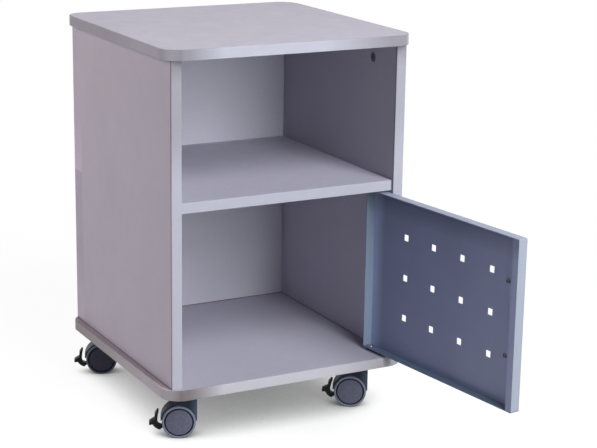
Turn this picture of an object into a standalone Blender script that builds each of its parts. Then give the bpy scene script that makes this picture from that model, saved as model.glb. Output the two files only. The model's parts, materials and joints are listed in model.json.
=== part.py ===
# Office cart: a board cabinet with an open upper bay, a lower bay behind a pressed steel door,
# and four twin-wheel swivel castors with brake levers.
# Frame: metres, +Z up, the floor is z = 0, the origin lies on the floor under the cabinet's
# centre, the front of the cabinet faces -Y and the door hangs on the right (+X).

import math

import bmesh
import bpy
from mathutils import Matrix, Vector

MM = 0.001
SAME = 0.001 * MM

# Boards
TOP_WIDTH = 400 * MM
TOP_DEPTH = 400 * MM
TOP_CORNER_RADIUS = 30 * MM
SIDE_OVERHANG = 10 * MM
END_OVERHANG = 10 * MM
BOARD = 16 * MM
UPPER_BAY_HEIGHT = 205 * MM
LOWER_BAY_HEIGHT = 260 * MM
SHELF_SETBACK = 5 * MM
BACK_INSET = 7 * MM
BAND = 2 * MM
BAND_EDGE = 0.8 * MM

# Clearances
SEAT_GAP = 0.3 * MM
GLUE_GAP = 0.2 * MM
SHELF_END_GAP = 0.6 * MM
RUNNING_GAP = 0.4 * MM

# Board fittings
CAM_RADIUS = 7.5 * MM
CAM_DEPTH = 12 * MM
CAM_DROP = 28 * MM
CAM_FROM_EDGE = 70 * MM
CAM_SLOT_LENGTH = 9 * MM
CAM_SLOT_WIDTH = 1.6 * MM
CAM_SLOT_DEPTH = 1.2 * MM
BOLT_RADIUS = 3 * MM
BOLT_REACH = 11 * MM
BOLT_TIP = 1 * MM
DOWEL_RADIUS = 4 * MM
DOWEL_IN_SIDE = 10 * MM
DOWEL_IN_SHELF = 20 * MM
DOWEL_CHAMFER = 1 * MM
DOWEL_FROM_FRONT = 60 * MM
DOWEL_FROM_BACK = 60 * MM

# Door
DOOR_SIDE_GAP = 3 * MM
DOOR_BOTTOM_GAP = 4 * MM
DOOR_TOP_GAP = 3 * MM
DOOR_DEPTH = 16 * MM
DOOR_RECESS = 24 * MM
DOOR_SHEET = 1.2 * MM
DOOR_BEND_RADIUS = 1.6 * MM
DOOR_LIP = 12 * MM
DOOR_OPEN_DEG = 97
PIVOT_FROM_EDGE = 9.5 * MM
PERFORATION = 10 * MM
PERFORATION_PITCH_ACROSS = 64.3 * MM
PERFORATION_PITCH_UP = 63 * MM
PERFORATION_OFF_MIDDLE = 5.4 * MM
FITTINGS_ABOVE_MIDDLE = 2 * MM
PERFORATION_COLUMNS = 4
PERFORATION_ROWS = 3

# Door pivots
PIN_RADIUS = 2.5 * MM
PIN_HEAD_RADIUS = 4 * MM
PIN_HEAD_HEIGHT = 1.4 * MM
PIN_HEAD_EDGE = 0.4 * MM
PIN_IN_BOARD = 9 * MM
BUSH_WALL = 1.6 * MM
BUSH_COLLAR_WALL = 3.5 * MM
BUSH_FLOOR = 1 * MM

# Door handle
HANDLE_PITCH = 110 * MM
HANDLE_FROM_EDGE = 33.7 * MM
HANDLE_BAR_RADIUS = 4.5 * MM
HANDLE_REACH = 18 * MM
HANDLE_BEND_RADIUS = 9 * MM
SCREW_RADIUS = 2 * MM
SCREW_GRIP = 9 * MM
SCREW_HEAD_RADIUS = 3.6 * MM
SCREW_HEAD_TOP_RADIUS = 2.5 * MM
SCREW_HEAD_HEIGHT = 2 * MM
SCREW_SLOT_LENGTH = 5 * MM
SCREW_SLOT_WIDTH = 1 * MM
SCREW_SLOT_DEPTH = 0.9 * MM

# Castors: plan position of each stem, turn of each wheel pair and how far its brake is pressed
CASTOR_HEIGHT = 70 * MM
STEM_FROM_LEFT = 41.3 * MM
STEM_FROM_RIGHT = 46.7 * MM
STEM_FROM_FRONT = 30.2 * MM
STEM_FROM_BACK = 41.8 * MM
CASTOR_TURN_DEG = {"front_left": 24, "front_right": 30, "rear_left": 21, "rear_right": 27}
BRAKE_PRESS_DEG = {"front_left": 7, "front_right": 0, "rear_left": 7, "rear_right": 0}
WHEEL_RADIUS = 25 * MM
WHEEL_WIDTH = 10.6 * MM
WHEEL_EDGE = 2 * MM
TREAD_INNER_RADIUS = 21.9 * MM
HUB_DISC_RADIUS = 19.8 * MM
HUB_GROOVE_DEPTH = 1.6 * MM
HUB_CROWN = 0.9 * MM
HUB_FACE = 2.8 * MM
TRAIL = 16 * MM
WEB_HALF = 5 * MM
AXLE_RADIUS = 3 * MM
AXLE_CHAMFER = 0.5 * MM
HOOD_HALF_WIDTH = 13.5 * MM
HOOD_HEIGHT = 34 * MM
HOOD_BACK = 27 * MM
HOOD_BACK_FOOT = 3 * MM
HOOD_SHELL = 1.6 * MM
HOOD_WHEEL_GAP = 0.6 * MM
HOOD_TOP_FRONT = -6 * MM
FENDER_FROM_DEG = 74
FENDER_TO_DEG = 5
CHEEK_FROM_DEG = -5
CHEEK_TO_DEG = -85
AXLE_BOSS_RADIUS = 7.5 * MM
AXLE_BOSS_FROM_DEG = -70
AXLE_BOSS_TO_DEG = -150
HOOD_EDGE = 0.5 * MM
STEM_RADIUS = 5.2 * MM
STEM_IN_BASE = 12 * MM
STEM_TIP = 1 * MM
COLLAR_RADIUS = 13 * MM
COLLAR_HEIGHT = 3 * MM
RACE_RADIUS = 11 * MM
KING_RADIUS = 3.5 * MM
KING_DEPTH = 24 * MM

# Brake lever, measured from the wheels' centre: outwards from the stem, and up
LEVER_PIVOT_OUT = 18.5 * MM
LEVER_PIVOT_UP = -7 * MM
LEVER_PIVOT_BOSS = 4 * MM
LEVER_CHEEK_BOSS = 5 * MM
LEVER_TRUNNION_RADIUS = 1.8 * MM
LEVER_TRUNNION_HALF = 4.6 * MM
LEVER_TAIL_HALF = 1.9 * MM
LEVER_PEDAL_HALF = 6 * MM
LEVER_EDGE = 0.5 * MM
LEVER_ROOT_OUT = 27.5 * MM
LEVER_ROOT_TOP = -7.2 * MM
LEVER_ROOT_BOTTOM = -13.8 * MM
LEVER_THROAT_IN = 24.8 * MM
LEVER_THROAT_HALF = 4.9 * MM
PRONG_INNER_OUT = 31.2 * MM
PRONG_TIP_OUT = 26.6 * MM
PRONG_TIP_UP = 16.2 * MM
PRONG_WIDTH = 3.6 * MM
PRONG_TIP_WIDTH = 2.8 * MM
PRONG_BEND = 4.5 * MM
PRONG_CURL = 5 * MM
PRONG_LEAN = 0.6 * MM
PRONG_CURL_LEAN = 2.6 * MM
PRONG_OUTER_LEAN = 1.2 * MM
PEDAL_OUT = 44.2 * MM
PEDAL_UP = 3 * MM
PEDAL_THICKNESS = 4.6 * MM
PEDAL_SLOPE = 1 * MM
PEDAL_DROP = 3 * MM
PEDAL_NOSE = 5.5 * MM
LEVER_ROOT_RISE = 3.6 * MM

# Facets
CORNER_STEPS = 8
WHEEL_STEPS = 24
FENDER_STEPS = 8
ROUND_STEPS = 16
BAR_STEPS = 12
BEND_STEPS = 4

# Levels and faces worked out from the sizes above
BASE_UNDER = CASTOR_HEIGHT
BASE_TOP = BASE_UNDER + BOARD
SHELF_UNDER = BASE_TOP + LOWER_BAY_HEIGHT
SHELF_TOP = SHELF_UNDER + BOARD
TOP_UNDER = SHELF_TOP + UPPER_BAY_HEIGHT
TOP_TOP = TOP_UNDER + BOARD
SIDE_OUTER = TOP_WIDTH / 2 - SIDE_OVERHANG
SIDE_INNER = SIDE_OUTER - BOARD
CARCASS_BACK = TOP_DEPTH / 2 - END_OVERHANG
CARCASS_FRONT = -CARCASS_BACK
BACK_PANEL_BACK = CARCASS_BACK - BACK_INSET
BACK_PANEL_FRONT = BACK_PANEL_BACK - BOARD
SHELF_FRONT = CARCASS_FRONT + SHELF_SETBACK
DOOR_WIDTH = 2 * (SIDE_INNER - DOOR_SIDE_GAP)
DOOR_BOTTOM = BASE_TOP + DOOR_BOTTOM_GAP
DOOR_TOP = SHELF_UNDER - DOOR_TOP_GAP
DOOR_MIDDLE = (DOOR_BOTTOM + DOOR_TOP) / 2
FITTINGS_MIDDLE = DOOR_MIDDLE + FITTINGS_ABOVE_MIDDLE
PIVOT_X = SIDE_INNER - DOOR_SIDE_GAP - PIVOT_FROM_EDGE
PIVOT_Y = CARCASS_FRONT + DOOR_RECESS + DOOR_DEPTH / 2
BUSH_BORE = PIN_RADIUS + SEAT_GAP
BUSH_RADIUS = BUSH_BORE + BUSH_WALL
BUSH_DEPTH = PIN_IN_BOARD + SEAT_GAP + BUSH_FLOOR
WHEEL_INNER = WEB_HALF + RUNNING_GAP
WHEEL_OUTER = WHEEL_INNER + WHEEL_WIDTH
HOOD_CAVITY_RADIUS = WHEEL_RADIUS + HOOD_WHEEL_GAP
FENDER_RADIUS = HOOD_CAVITY_RADIUS + HOOD_SHELL
HOOD_TOP = WHEEL_RADIUS + HOOD_HEIGHT
AXLE_END = WHEEL_OUTER - HUB_FACE - SEAT_GAP
CAM_HEIGHT = TOP_UNDER - CAM_DROP


def clear_scene():
    for obj in list(bpy.data.objects):
        bpy.data.objects.remove(obj, do_unlink=True)


def make_material(name, color, roughness, metallic=0.0):
    mat = bpy.data.materials.new(name)
    mat.use_nodes = True
    shader = mat.node_tree.nodes["Principled BSDF"]
    shader.inputs["Base Color"].default_value = (*color, 1.0)
    shader.inputs["Roughness"].default_value = roughness
    shader.inputs["Metallic"].default_value = metallic
    mat.diffuse_color = (*color, 1.0)
    return mat


def finish_mesh(name, bm, sharp_deg=35):
    bmesh.ops.recalc_face_normals(bm, faces=bm.faces)
    mesh = bpy.data.meshes.new(name)
    bm.to_mesh(mesh)
    bm.free()
    mesh.shade_smooth()
    mesh.set_sharp_from_angle(angle=math.radians(sharp_deg))
    return mesh


def add_object(name, mesh, mat=None, parent=None, location=(0, 0, 0), turn_z=0.0):
    obj = bpy.data.objects.new(name, mesh)
    bpy.context.scene.collection.objects.link(obj)
    obj.location = location
    obj.rotation_euler = (0, 0, turn_z)
    obj.parent = parent
    if mat is not None:
        obj.data.materials.clear()
        obj.data.materials.append(mat)
    return obj


def add_empty(name, location, turn_z=0.0):
    obj = bpy.data.objects.new(name, None)
    bpy.context.scene.collection.objects.link(obj)
    obj.empty_display_size = 0.03
    obj.location = location
    obj.rotation_euler = (0, 0, turn_z)
    return obj


def box_mesh(name, low, high, edge=0.0, edge_test=None, steps=1):
    """A cuboid; the edges that edge_test picks (all by default) are bevelled by edge."""
    bm = bmesh.new()
    bmesh.ops.create_cube(bm, size=1.0)
    low, high = Vector(low), Vector(high)
    for vert in bm.verts:
        vert.co = Vector(low[i] + (vert.co[i] + 0.5) * (high[i] - low[i]) for i in range(3))
    if edge > 0:
        picked = [e for e in bm.edges if edge_test is None or edge_test(e)]
        bmesh.ops.bevel(bm, geom=picked, offset=edge, segments=steps, profile=0.5, affect="EDGES")
    return finish_mesh(name, bm)


def skin_rings(bm, rings, close_rings):
    """Bridge neighbouring rings of vertices; close_rings joins the last ring to the first."""
    pairs = list(zip(rings, rings[1:]))
    if close_rings:
        pairs.append((rings[-1], rings[0]))
    for first, second in pairs:
        count = len(first)
        for i in range(count):
            j = (i + 1) % count
            bm.faces.new((first[i], first[j], second[j], second[i]))


def turned_mesh(name, profile, axis="Z", steps=ROUND_STEPS):
    """Turn a profile of (radius, along) about an axis. A profile that starts and ends at
    radius 0 gives a solid; any other profile is closed on itself and gives a ring."""
    bm = bmesh.new()
    solid = profile[0][0] == 0 and profile[-1][0] == 0
    inner = profile[1:-1] if solid else profile
    rings = []
    for radius, along in inner:
        ring = []
        for k in range(steps):
            angle = 2 * math.pi * k / steps
            ring.append(bm.verts.new((radius * math.cos(angle), radius * math.sin(angle), along)))
        rings.append(ring)
    skin_rings(bm, rings, close_rings=not solid)
    if solid:
        for ring, tip in ((rings[0], profile[0][1]), (rings[-1], profile[-1][1])):
            centre = bm.verts.new((0, 0, tip))
            for i in range(steps):
                bm.faces.new((ring[i], ring[(i + 1) % steps], centre))
    turn = {"Z": Matrix(), "Y": Matrix.Rotation(-math.pi / 2, 4, "X"),
            "X": Matrix.Rotation(math.pi / 2, 4, "Y")}[axis]
    bmesh.ops.transform(bm, matrix=turn, verts=bm.verts)
    return finish_mesh(name, bm)


def upright_mesh(name, outline, half_width, edge=0.0):
    """Extrude an outline of (out, up) points sideways, from -half_width to +half_width in Y."""
    bm = bmesh.new()
    verts = [bm.verts.new((out, -half_width, up)) for out, up in outline]
    face = bm.faces.new(verts)
    grown = bmesh.ops.extrude_face_region(bm, geom=[face])
    moved = [item for item in grown["geom"] if isinstance(item, bmesh.types.BMVert)]
    bmesh.ops.translate(bm, vec=(0, 2 * half_width, 0), verts=moved)
    if edge > 0:
        rims = [e for e in bm.edges if abs(e.verts[0].co.y - e.verts[1].co.y) < half_width]
        bmesh.ops.bevel(bm, geom=rims, offset=edge, segments=1, affect="EDGES")
    return finish_mesh(name, bm)


def cross_outline(length, width):
    """Outline of a cross-head slot: one arm's three corners, turned into the four arms."""
    far, near = length / 2, width / 2
    arm = [(near, near), (near, far), (-near, far)]
    outline = []
    for _ in range(4):
        outline += arm
        arm = [(-up, out) for out, up in arm]
    return outline


def arc_points(centre, radius, from_deg, to_deg, steps):
    """Points along an arc, its two ends among them."""
    points = []
    for k in range(steps + 1):
        angle = math.radians(from_deg + (to_deg - from_deg) * k / steps)
        points.append((centre[0] + radius * math.cos(angle), centre[1] + radius * math.sin(angle)))
    return points


def rounded_rectangle(width, depth, radius):
    """Corner points of a rectangle with rounded corners, anticlockwise."""
    points = []
    half_x, half_y = width / 2 - radius, depth / 2 - radius
    for sign_x, sign_y, start_deg in ((1, 1, 0), (-1, 1, 90), (-1, -1, 180), (1, -1, 270)):
        centre = (sign_x * half_x, sign_y * half_y)
        points += arc_points(centre, radius, start_deg, start_deg + 90, CORNER_STEPS)
    return points


def rounded_ring(bm, inset, z):
    outline = rounded_rectangle(TOP_WIDTH - 2 * inset, TOP_DEPTH - 2 * inset, TOP_CORNER_RADIUS - inset)
    return [bm.verts.new((x, y, z)) for x, y in outline]


def rounded_board_mesh(name, inset, low, high):
    bm = bmesh.new()
    rings = [rounded_ring(bm, inset, low), rounded_ring(bm, inset, high)]
    skin_rings(bm, rings, close_rings=False)
    for ring in rings:
        bm.faces.new(ring)
    return finish_mesh(name, bm)


def rounded_band_mesh(name, low, high):
    bm = bmesh.new()
    section = (
        (BAND_EDGE, low),
        (0, low + BAND_EDGE),
        (0, high - BAND_EDGE),
        (BAND_EDGE, high),
        (BAND, high),
        (BAND, low),
    )
    skin_rings(bm, [rounded_ring(bm, inset, z) for inset, z in section], close_rings=True)
    return finish_mesh(name, bm)


def add_modifier(obj, tool, operation):
    mod = obj.modifiers.new(tool.name, "BOOLEAN")
    mod.operation = operation
    mod.solver = "EXACT"
    mod.object = tool


def make_tool(name, mesh, location=(0, 0, 0), parent=None):
    """A cutter or a joining piece that only a Boolean uses."""
    tool = add_object(name, mesh, parent=parent, location=location)
    tool.hide_render = True
    tool.display_type = "WIRE"
    return tool


def cut(obj, name, mesh, location=(0, 0, 0), parent=None):
    add_modifier(obj, make_tool(name, mesh, location, parent), "DIFFERENCE")


def join(obj, name, mesh, location=(0, 0, 0), parent=None):
    add_modifier(obj, make_tool(name, mesh, location, parent), "UNION")


def settle(obj):
    """Replace an object and its tools by the mesh that its modifiers give."""
    bpy.context.view_layer.update()
    graph = bpy.context.evaluated_depsgraph_get()
    mesh = bpy.data.meshes.new_from_object(obj.evaluated_get(graph))
    mesh.name = obj.name
    for mod in obj.modifiers:
        bpy.data.objects.remove(mod.object, do_unlink=True)
    bpy.data.objects.remove(obj, do_unlink=True)
    return mesh


def cylinder_mesh(name, radius, low, high, axis="Z", steps=ROUND_STEPS):
    return turned_mesh(name, ((0, low), (radius, low), (radius, high), (0, high)), axis, steps)


def cabinet_corners():
    """Name and signs of the four corners of the cabinet."""
    return (("front_left", -1, -1), ("front_right", 1, -1), ("rear_left", -1, 1), ("rear_right", 1, 1))


def cam_y(sign_y):
    return sign_y * (CARCASS_BACK - CAM_FROM_EDGE)


def dowel_ys():
    return {"front": SHELF_FRONT + DOWEL_FROM_FRONT, "rear": BACK_PANEL_FRONT - DOWEL_FROM_BACK}


def stem_place(sign_x, sign_y):
    x = SIDE_OUTER - STEM_FROM_RIGHT if sign_x > 0 else STEM_FROM_LEFT - SIDE_OUTER
    y = CARCASS_BACK - STEM_FROM_BACK if sign_y > 0 else CARCASS_FRONT + STEM_FROM_FRONT
    return x, y


def make_top(board_mat, band_mat):
    core = rounded_board_mesh("top_panel", BAND + GLUE_GAP, TOP_UNDER, TOP_TOP)
    top = add_object("top_panel", core, board_mat)
    for name, sign_x, sign_y in cabinet_corners():
        hole = cylinder_mesh("top_hole", BOLT_RADIUS + SEAT_GAP, -BOARD, BOLT_REACH + SEAT_GAP)
        place = (sign_x * (SIDE_OUTER - BOARD / 2), cam_y(sign_y), TOP_UNDER)
        cut(top, "top_bolt_hole_" + name, hole, place)
    add_object("top_edge_band", rounded_band_mesh("top_edge_band", TOP_UNDER, TOP_TOP), band_mat)


def make_base(board_mat, band_mat):
    core = rounded_board_mesh("base_panel", BAND + GLUE_GAP, BASE_UNDER, BASE_TOP)
    base = add_object("base_panel", core, board_mat)
    for name, sign_x, sign_y in cabinet_corners():
        hole = cylinder_mesh("base_hole", STEM_RADIUS + SEAT_GAP, -BOARD, STEM_IN_BASE + SEAT_GAP)
        cut(base, "base_stem_hole_" + name, hole, (*stem_place(sign_x, sign_y), BASE_UNDER))
    bush_hole = cylinder_mesh("base_bush_hole", BUSH_RADIUS + SEAT_GAP, -BUSH_DEPTH - SEAT_GAP, BOARD)
    cut(base, "base_bush_hole", bush_hole, (PIVOT_X, PIVOT_Y, BASE_TOP))
    add_object("base_edge_band", rounded_band_mesh("base_edge_band", BASE_UNDER, BASE_TOP), band_mat)


def make_side(side, sign, board_mat, band_mat):
    low_z, high_z = BASE_TOP + SEAT_GAP, TOP_UNDER - SEAT_GAP
    x_range = sorted((sign * SIDE_INNER, sign * SIDE_OUTER))
    front = CARCASS_FRONT + BAND + GLUE_GAP
    mesh = box_mesh(side + "_side_panel", (x_range[0], front, low_z), (x_range[1], CARCASS_BACK, high_z))
    panel = add_object(side + "_side_panel", mesh, board_mat)
    for end, sign_y in (("front", -1), ("rear", 1)):
        bore = cylinder_mesh("cam_bore", CAM_RADIUS + SEAT_GAP, -CAM_DEPTH - SEAT_GAP, BOARD, "X")
        place = (sign * SIDE_INNER, cam_y(sign_y), CAM_HEIGHT)
        tool = make_tool(side + "_cam_bore_" + end, bore, place)
        tool.rotation_euler = (0, 0, math.pi if sign > 0 else 0)
        add_modifier(panel, tool, "DIFFERENCE")
        way = cylinder_mesh("bolt_way", BOLT_RADIUS + SEAT_GAP, 0, CAM_DROP + BOARD)
        way_place = (sign * (SIDE_OUTER - BOARD / 2), cam_y(sign_y), CAM_HEIGHT)
        cut(panel, side + "_bolt_way_" + end, way, way_place)
    for end, y in dowel_ys().items():
        reach = DOWEL_IN_SIDE + SEAT_GAP
        hole = cylinder_mesh("dowel_hole", DOWEL_RADIUS + SEAT_GAP, -reach, reach, "X")
        cut(panel, side + "_dowel_hole_" + end, hole, (sign * SIDE_INNER, y, SHELF_TOP - BOARD / 2))
    band_low = (x_range[0], CARCASS_FRONT, low_z)
    band_high = (x_range[1], CARCASS_FRONT + BAND, high_z)
    band = box_mesh(side + "_edge_band", band_low, band_high, BAND_EDGE, front_upright_edge)
    add_object(side + "_edge_band", band, band_mat)


def on_band_front(edge):
    """Whether an edge lies on the front face of a band, on a side panel's edge or on the shelf's."""
    return all(vert.co.y < SHELF_FRONT + BAND / 2 for vert in edge.verts) and edge_span(edge).y < SAME


def edge_span(edge):
    first, second = (vert.co for vert in edge.verts)
    return Vector(abs(first[i] - second[i]) for i in range(3))


def front_upright_edge(edge):
    return on_band_front(edge) and edge_span(edge).x < SAME


def front_level_edge(edge):
    return on_band_front(edge) and edge_span(edge).z < SAME


def make_back(board_mat):
    half = SIDE_INNER - SEAT_GAP
    low = (-half, BACK_PANEL_FRONT, BASE_TOP + SEAT_GAP)
    high = (half, BACK_PANEL_BACK, TOP_UNDER - SEAT_GAP)
    add_object("back_panel", box_mesh("back_panel", low, high), board_mat)


def make_shelf(board_mat, band_mat):
    half = SIDE_INNER - SHELF_END_GAP
    low = (-half, SHELF_FRONT + BAND + GLUE_GAP, SHELF_UNDER)
    high = (half, BACK_PANEL_FRONT - SEAT_GAP, SHELF_TOP)
    shelf = add_object("middle_shelf", box_mesh("middle_shelf", low, high), board_mat)
    for side, sign in (("left", -1), ("right", 1)):
        for end, y in dowel_ys().items():
            reach = DOWEL_IN_SHELF + SEAT_GAP
            hole = cylinder_mesh("shelf_hole", DOWEL_RADIUS + SEAT_GAP, -reach, reach, "X")
            cut(shelf, "shelf_hole_" + side + "_" + end, hole, (sign * half, y, SHELF_TOP - BOARD / 2))
    bush_hole = cylinder_mesh("shelf_bush_hole", BUSH_RADIUS + SEAT_GAP, -BOARD, BUSH_DEPTH + SEAT_GAP)
    cut(shelf, "shelf_bush_hole", bush_hole, (PIVOT_X, PIVOT_Y, SHELF_UNDER))
    band_low = (-half, SHELF_FRONT, SHELF_UNDER)
    band_high = (half, SHELF_FRONT + BAND, SHELF_TOP)
    band = box_mesh("shelf_edge_band", band_low, band_high, BAND_EDGE, front_level_edge)
    add_object("shelf_edge_band", band, band_mat)


def make_shelf_dowels(mat):
    half = SIDE_INNER - SHELF_END_GAP
    inner, outer = half - DOWEL_IN_SHELF, SIDE_INNER + DOWEL_IN_SIDE
    profile = (
        (0, inner),
        (DOWEL_RADIUS - DOWEL_CHAMFER, inner),
        (DOWEL_RADIUS, inner + DOWEL_CHAMFER),
        (DOWEL_RADIUS, outer - DOWEL_CHAMFER),
        (DOWEL_RADIUS - DOWEL_CHAMFER, outer),
        (0, outer),
    )
    mesh = turned_mesh("shelf_dowel", profile, "X")
    for side, turn in (("left", math.pi), ("right", 0)):
        for end, y in dowel_ys().items():
            place = (0, y, SHELF_TOP - BOARD / 2)
            add_object("shelf_dowel_" + side + "_" + end, mesh, mat, None, place, turn)


def make_cam_fittings(mat):
    """Each fitting is a cam in the side panel and its bolt up into the top, as one solid."""
    cam = add_object("cam", cylinder_mesh("cam", CAM_RADIUS, -CAM_DEPTH, 0, "X"), mat)
    cross = upright_mesh("cam_slot", cross_outline(CAM_SLOT_LENGTH, CAM_SLOT_WIDTH), CAM_SLOT_DEPTH)
    slot = make_tool("cam_slot", cross)
    slot.rotation_euler = (0, 0, math.pi / 2)
    add_modifier(cam, slot, "DIFFERENCE")
    bolt_top = CAM_DROP + BOLT_REACH
    bolt_profile = (
        (0, 0),
        (BOLT_RADIUS, 0),
        (BOLT_RADIUS, bolt_top - BOLT_TIP),
        (BOLT_RADIUS - BOLT_TIP, bolt_top),
        (0, bolt_top),
    )
    tool = make_tool("cam_bolt", turned_mesh("cam_bolt", bolt_profile), (-BOARD / 2, 0, 0))
    tool.rotation_euler = (0, 0, math.pi / ROUND_STEPS)
    add_modifier(cam, tool, "UNION")
    mesh = settle(cam)
    for name, sign_x, sign_y in cabinet_corners():
        turn = math.pi if sign_x > 0 else 0
        place = (sign_x * SIDE_INNER, cam_y(sign_y), CAM_HEIGHT)
        add_object("cam_fitting_" + name, mesh, mat, None, place, turn)


def door_outer_edge(edge):
    """Edges of the door's outer face and of its four corners, in the pivot's frame."""
    on_outer_face = all(abs(vert.co.y + DOOR_DEPTH / 2) < SAME for vert in edge.verts)
    return on_outer_face or edge_span(edge).y > DOOR_DEPTH / 2


def make_door(parent, mat):
    """The door in its closed place, measured from the pivot: it runs to -X, its outer face to -Y."""
    hinge_x, free_x = PIVOT_FROM_EDGE, PIVOT_FROM_EDGE - DOOR_WIDTH
    outer_y, rim_y = -DOOR_DEPTH / 2, DOOR_DEPTH / 2
    low = (free_x, outer_y, DOOR_BOTTOM)
    high = (hinge_x, rim_y, DOOR_TOP)
    mesh = box_mesh("door_panel", low, high, DOOR_BEND_RADIUS, door_outer_edge, 2)
    door = add_object("door_panel", mesh, mat, parent)
    inside_low = (free_x + DOOR_LIP, outer_y + DOOR_SHEET, DOOR_BOTTOM + DOOR_SHEET)
    inside_high = (hinge_x - DOOR_SHEET, rim_y + DOOR_DEPTH, DOOR_TOP - DOOR_SHEET)
    cut(door, "door_inside", box_mesh("door_inside", inside_low, inside_high), parent=parent)
    lip_low = (free_x + DOOR_SHEET, outer_y + DOOR_SHEET, DOOR_BOTTOM + DOOR_SHEET)
    lip_high = (free_x + 2 * DOOR_LIP, rim_y - DOOR_SHEET, DOOR_TOP - DOOR_SHEET)
    cut(door, "door_behind_lip", box_mesh("door_behind_lip", lip_low, lip_high), parent=parent)
    middle_x = (hinge_x + free_x) / 2
    pattern_x = middle_x - PERFORATION_OFF_MIDDLE
    for column in range(PERFORATION_COLUMNS):
        for row in range(PERFORATION_ROWS):
            x = pattern_x + (column - (PERFORATION_COLUMNS - 1) / 2) * PERFORATION_PITCH_ACROSS
            z = FITTINGS_MIDDLE + (row - (PERFORATION_ROWS - 1) / 2) * PERFORATION_PITCH_UP
            half = PERFORATION / 2
            hole = box_mesh("perforation", (-half, -DOOR_SHEET, -half), (half, 2 * DOOR_SHEET, half))
            cut(door, "perforation_%d_%d" % (column, row), hole, (x, outer_y, z), parent)
    pin_hole = cylinder_mesh("pin_hole", PIN_RADIUS + SEAT_GAP, -DOOR_DEPTH, DOOR_DEPTH)
    for end, z in (("lower", DOOR_BOTTOM), ("upper", DOOR_TOP)):
        cut(door, "pin_hole_" + end, pin_hole, (0, 0, z), parent)
    screw_hole = cylinder_mesh("screw_hole", SCREW_RADIUS + SEAT_GAP, -2 * DOOR_SHEET, 2 * DOOR_SHEET, "Y")
    for end, sign in (("lower", -1), ("upper", 1)):
        place = (handle_x(), outer_y, FITTINGS_MIDDLE + sign * HANDLE_PITCH / 2)
        cut(door, "screw_hole_" + end, screw_hole, place, parent)


def handle_x():
    return PIVOT_FROM_EDGE - DOOR_WIDTH + HANDLE_FROM_EDGE


def make_hinge_pins(parent, mat):
    flange_inside = DOOR_SHEET + SEAT_GAP
    head_top = flange_inside + PIN_HEAD_HEIGHT
    ends = (("lower", DOOR_BOTTOM, DOOR_BOTTOM_GAP, 1), ("upper", DOOR_TOP, DOOR_TOP_GAP, -1))
    for end, z, gap, sign in ends:
        profile = (
            (0, -gap - PIN_IN_BOARD),
            (PIN_RADIUS, -gap - PIN_IN_BOARD),
            (PIN_RADIUS, flange_inside),
            (PIN_HEAD_RADIUS, flange_inside),
            (PIN_HEAD_RADIUS, head_top - PIN_HEAD_EDGE),
            (PIN_HEAD_RADIUS - PIN_HEAD_EDGE, head_top),
            (0, head_top),
        )
        mesh = turned_mesh("hinge_pin_" + end, [(r, sign * along) for r, along in profile])
        add_object("hinge_pin_" + end, mesh, mat, parent, (0, 0, z))


def make_hinge_bushes(mat):
    """Bushes in the base and in the shelf; their collars keep the door off both boards."""
    collar = BUSH_BORE + BUSH_COLLAR_WALL
    ends = (("lower", BASE_TOP, DOOR_BOTTOM_GAP, 1), ("upper", SHELF_UNDER, DOOR_TOP_GAP, -1))
    for end, z, gap, sign in ends:
        profile = (
            (0, -BUSH_DEPTH),
            (BUSH_RADIUS, -BUSH_DEPTH),
            (BUSH_RADIUS, SEAT_GAP),
            (collar, SEAT_GAP),
            (collar, gap - SEAT_GAP),
            (BUSH_BORE, gap - SEAT_GAP),
            (BUSH_BORE, -BUSH_DEPTH + BUSH_FLOOR),
            (0, -BUSH_DEPTH + BUSH_FLOOR),
        )
        mesh = turned_mesh("hinge_bush_" + end, [(r, sign * along) for r, along in profile])
        add_object("hinge_bush_" + end, mesh, mat, None, (PIVOT_X, PIVOT_Y, z))


def handle_path():
    """Centre line of the bar in the (out, up) plane, from one foot to the other."""
    half, bend = HANDLE_PITCH / 2, HANDLE_BEND_RADIUS
    bend_out = HANDLE_REACH - bend
    lower = arc_points((bend_out, bend - half), bend, 270, 360, BEND_STEPS)
    upper = arc_points((bend_out, half - bend), bend, 0, 90, BEND_STEPS)
    return [(0, -half)] + lower + upper + [(0, half)]


def bar_mesh(name, path, radius):
    """A round bar swept along a flat path of (out, up) points; out is -Y and up is Z."""
    bm = bmesh.new()
    rings = []
    for i, (out, up) in enumerate(path):
        before, after = path[max(i - 1, 0)], path[min(i + 1, len(path) - 1)]
        along = Vector((after[0] - before[0], after[1] - before[1])).normalized()
        if i in (0, len(path) - 1):
            along = Vector((1.0 if i == 0 else -1.0, 0.0))
        side = Vector((-along.y, along.x))
        ring = []
        for k in range(BAR_STEPS):
            angle = 2 * math.pi * k / BAR_STEPS
            offset = radius * math.cos(angle)
            point = (radius * math.sin(angle), -(out + side.x * offset), up + side.y * offset)
            ring.append(bm.verts.new(point))
        rings.append(ring)
    skin_rings(bm, rings, close_rings=False)
    for ring in (rings[0], rings[-1]):
        bm.faces.new(ring)
    return finish_mesh(name, bm)


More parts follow.
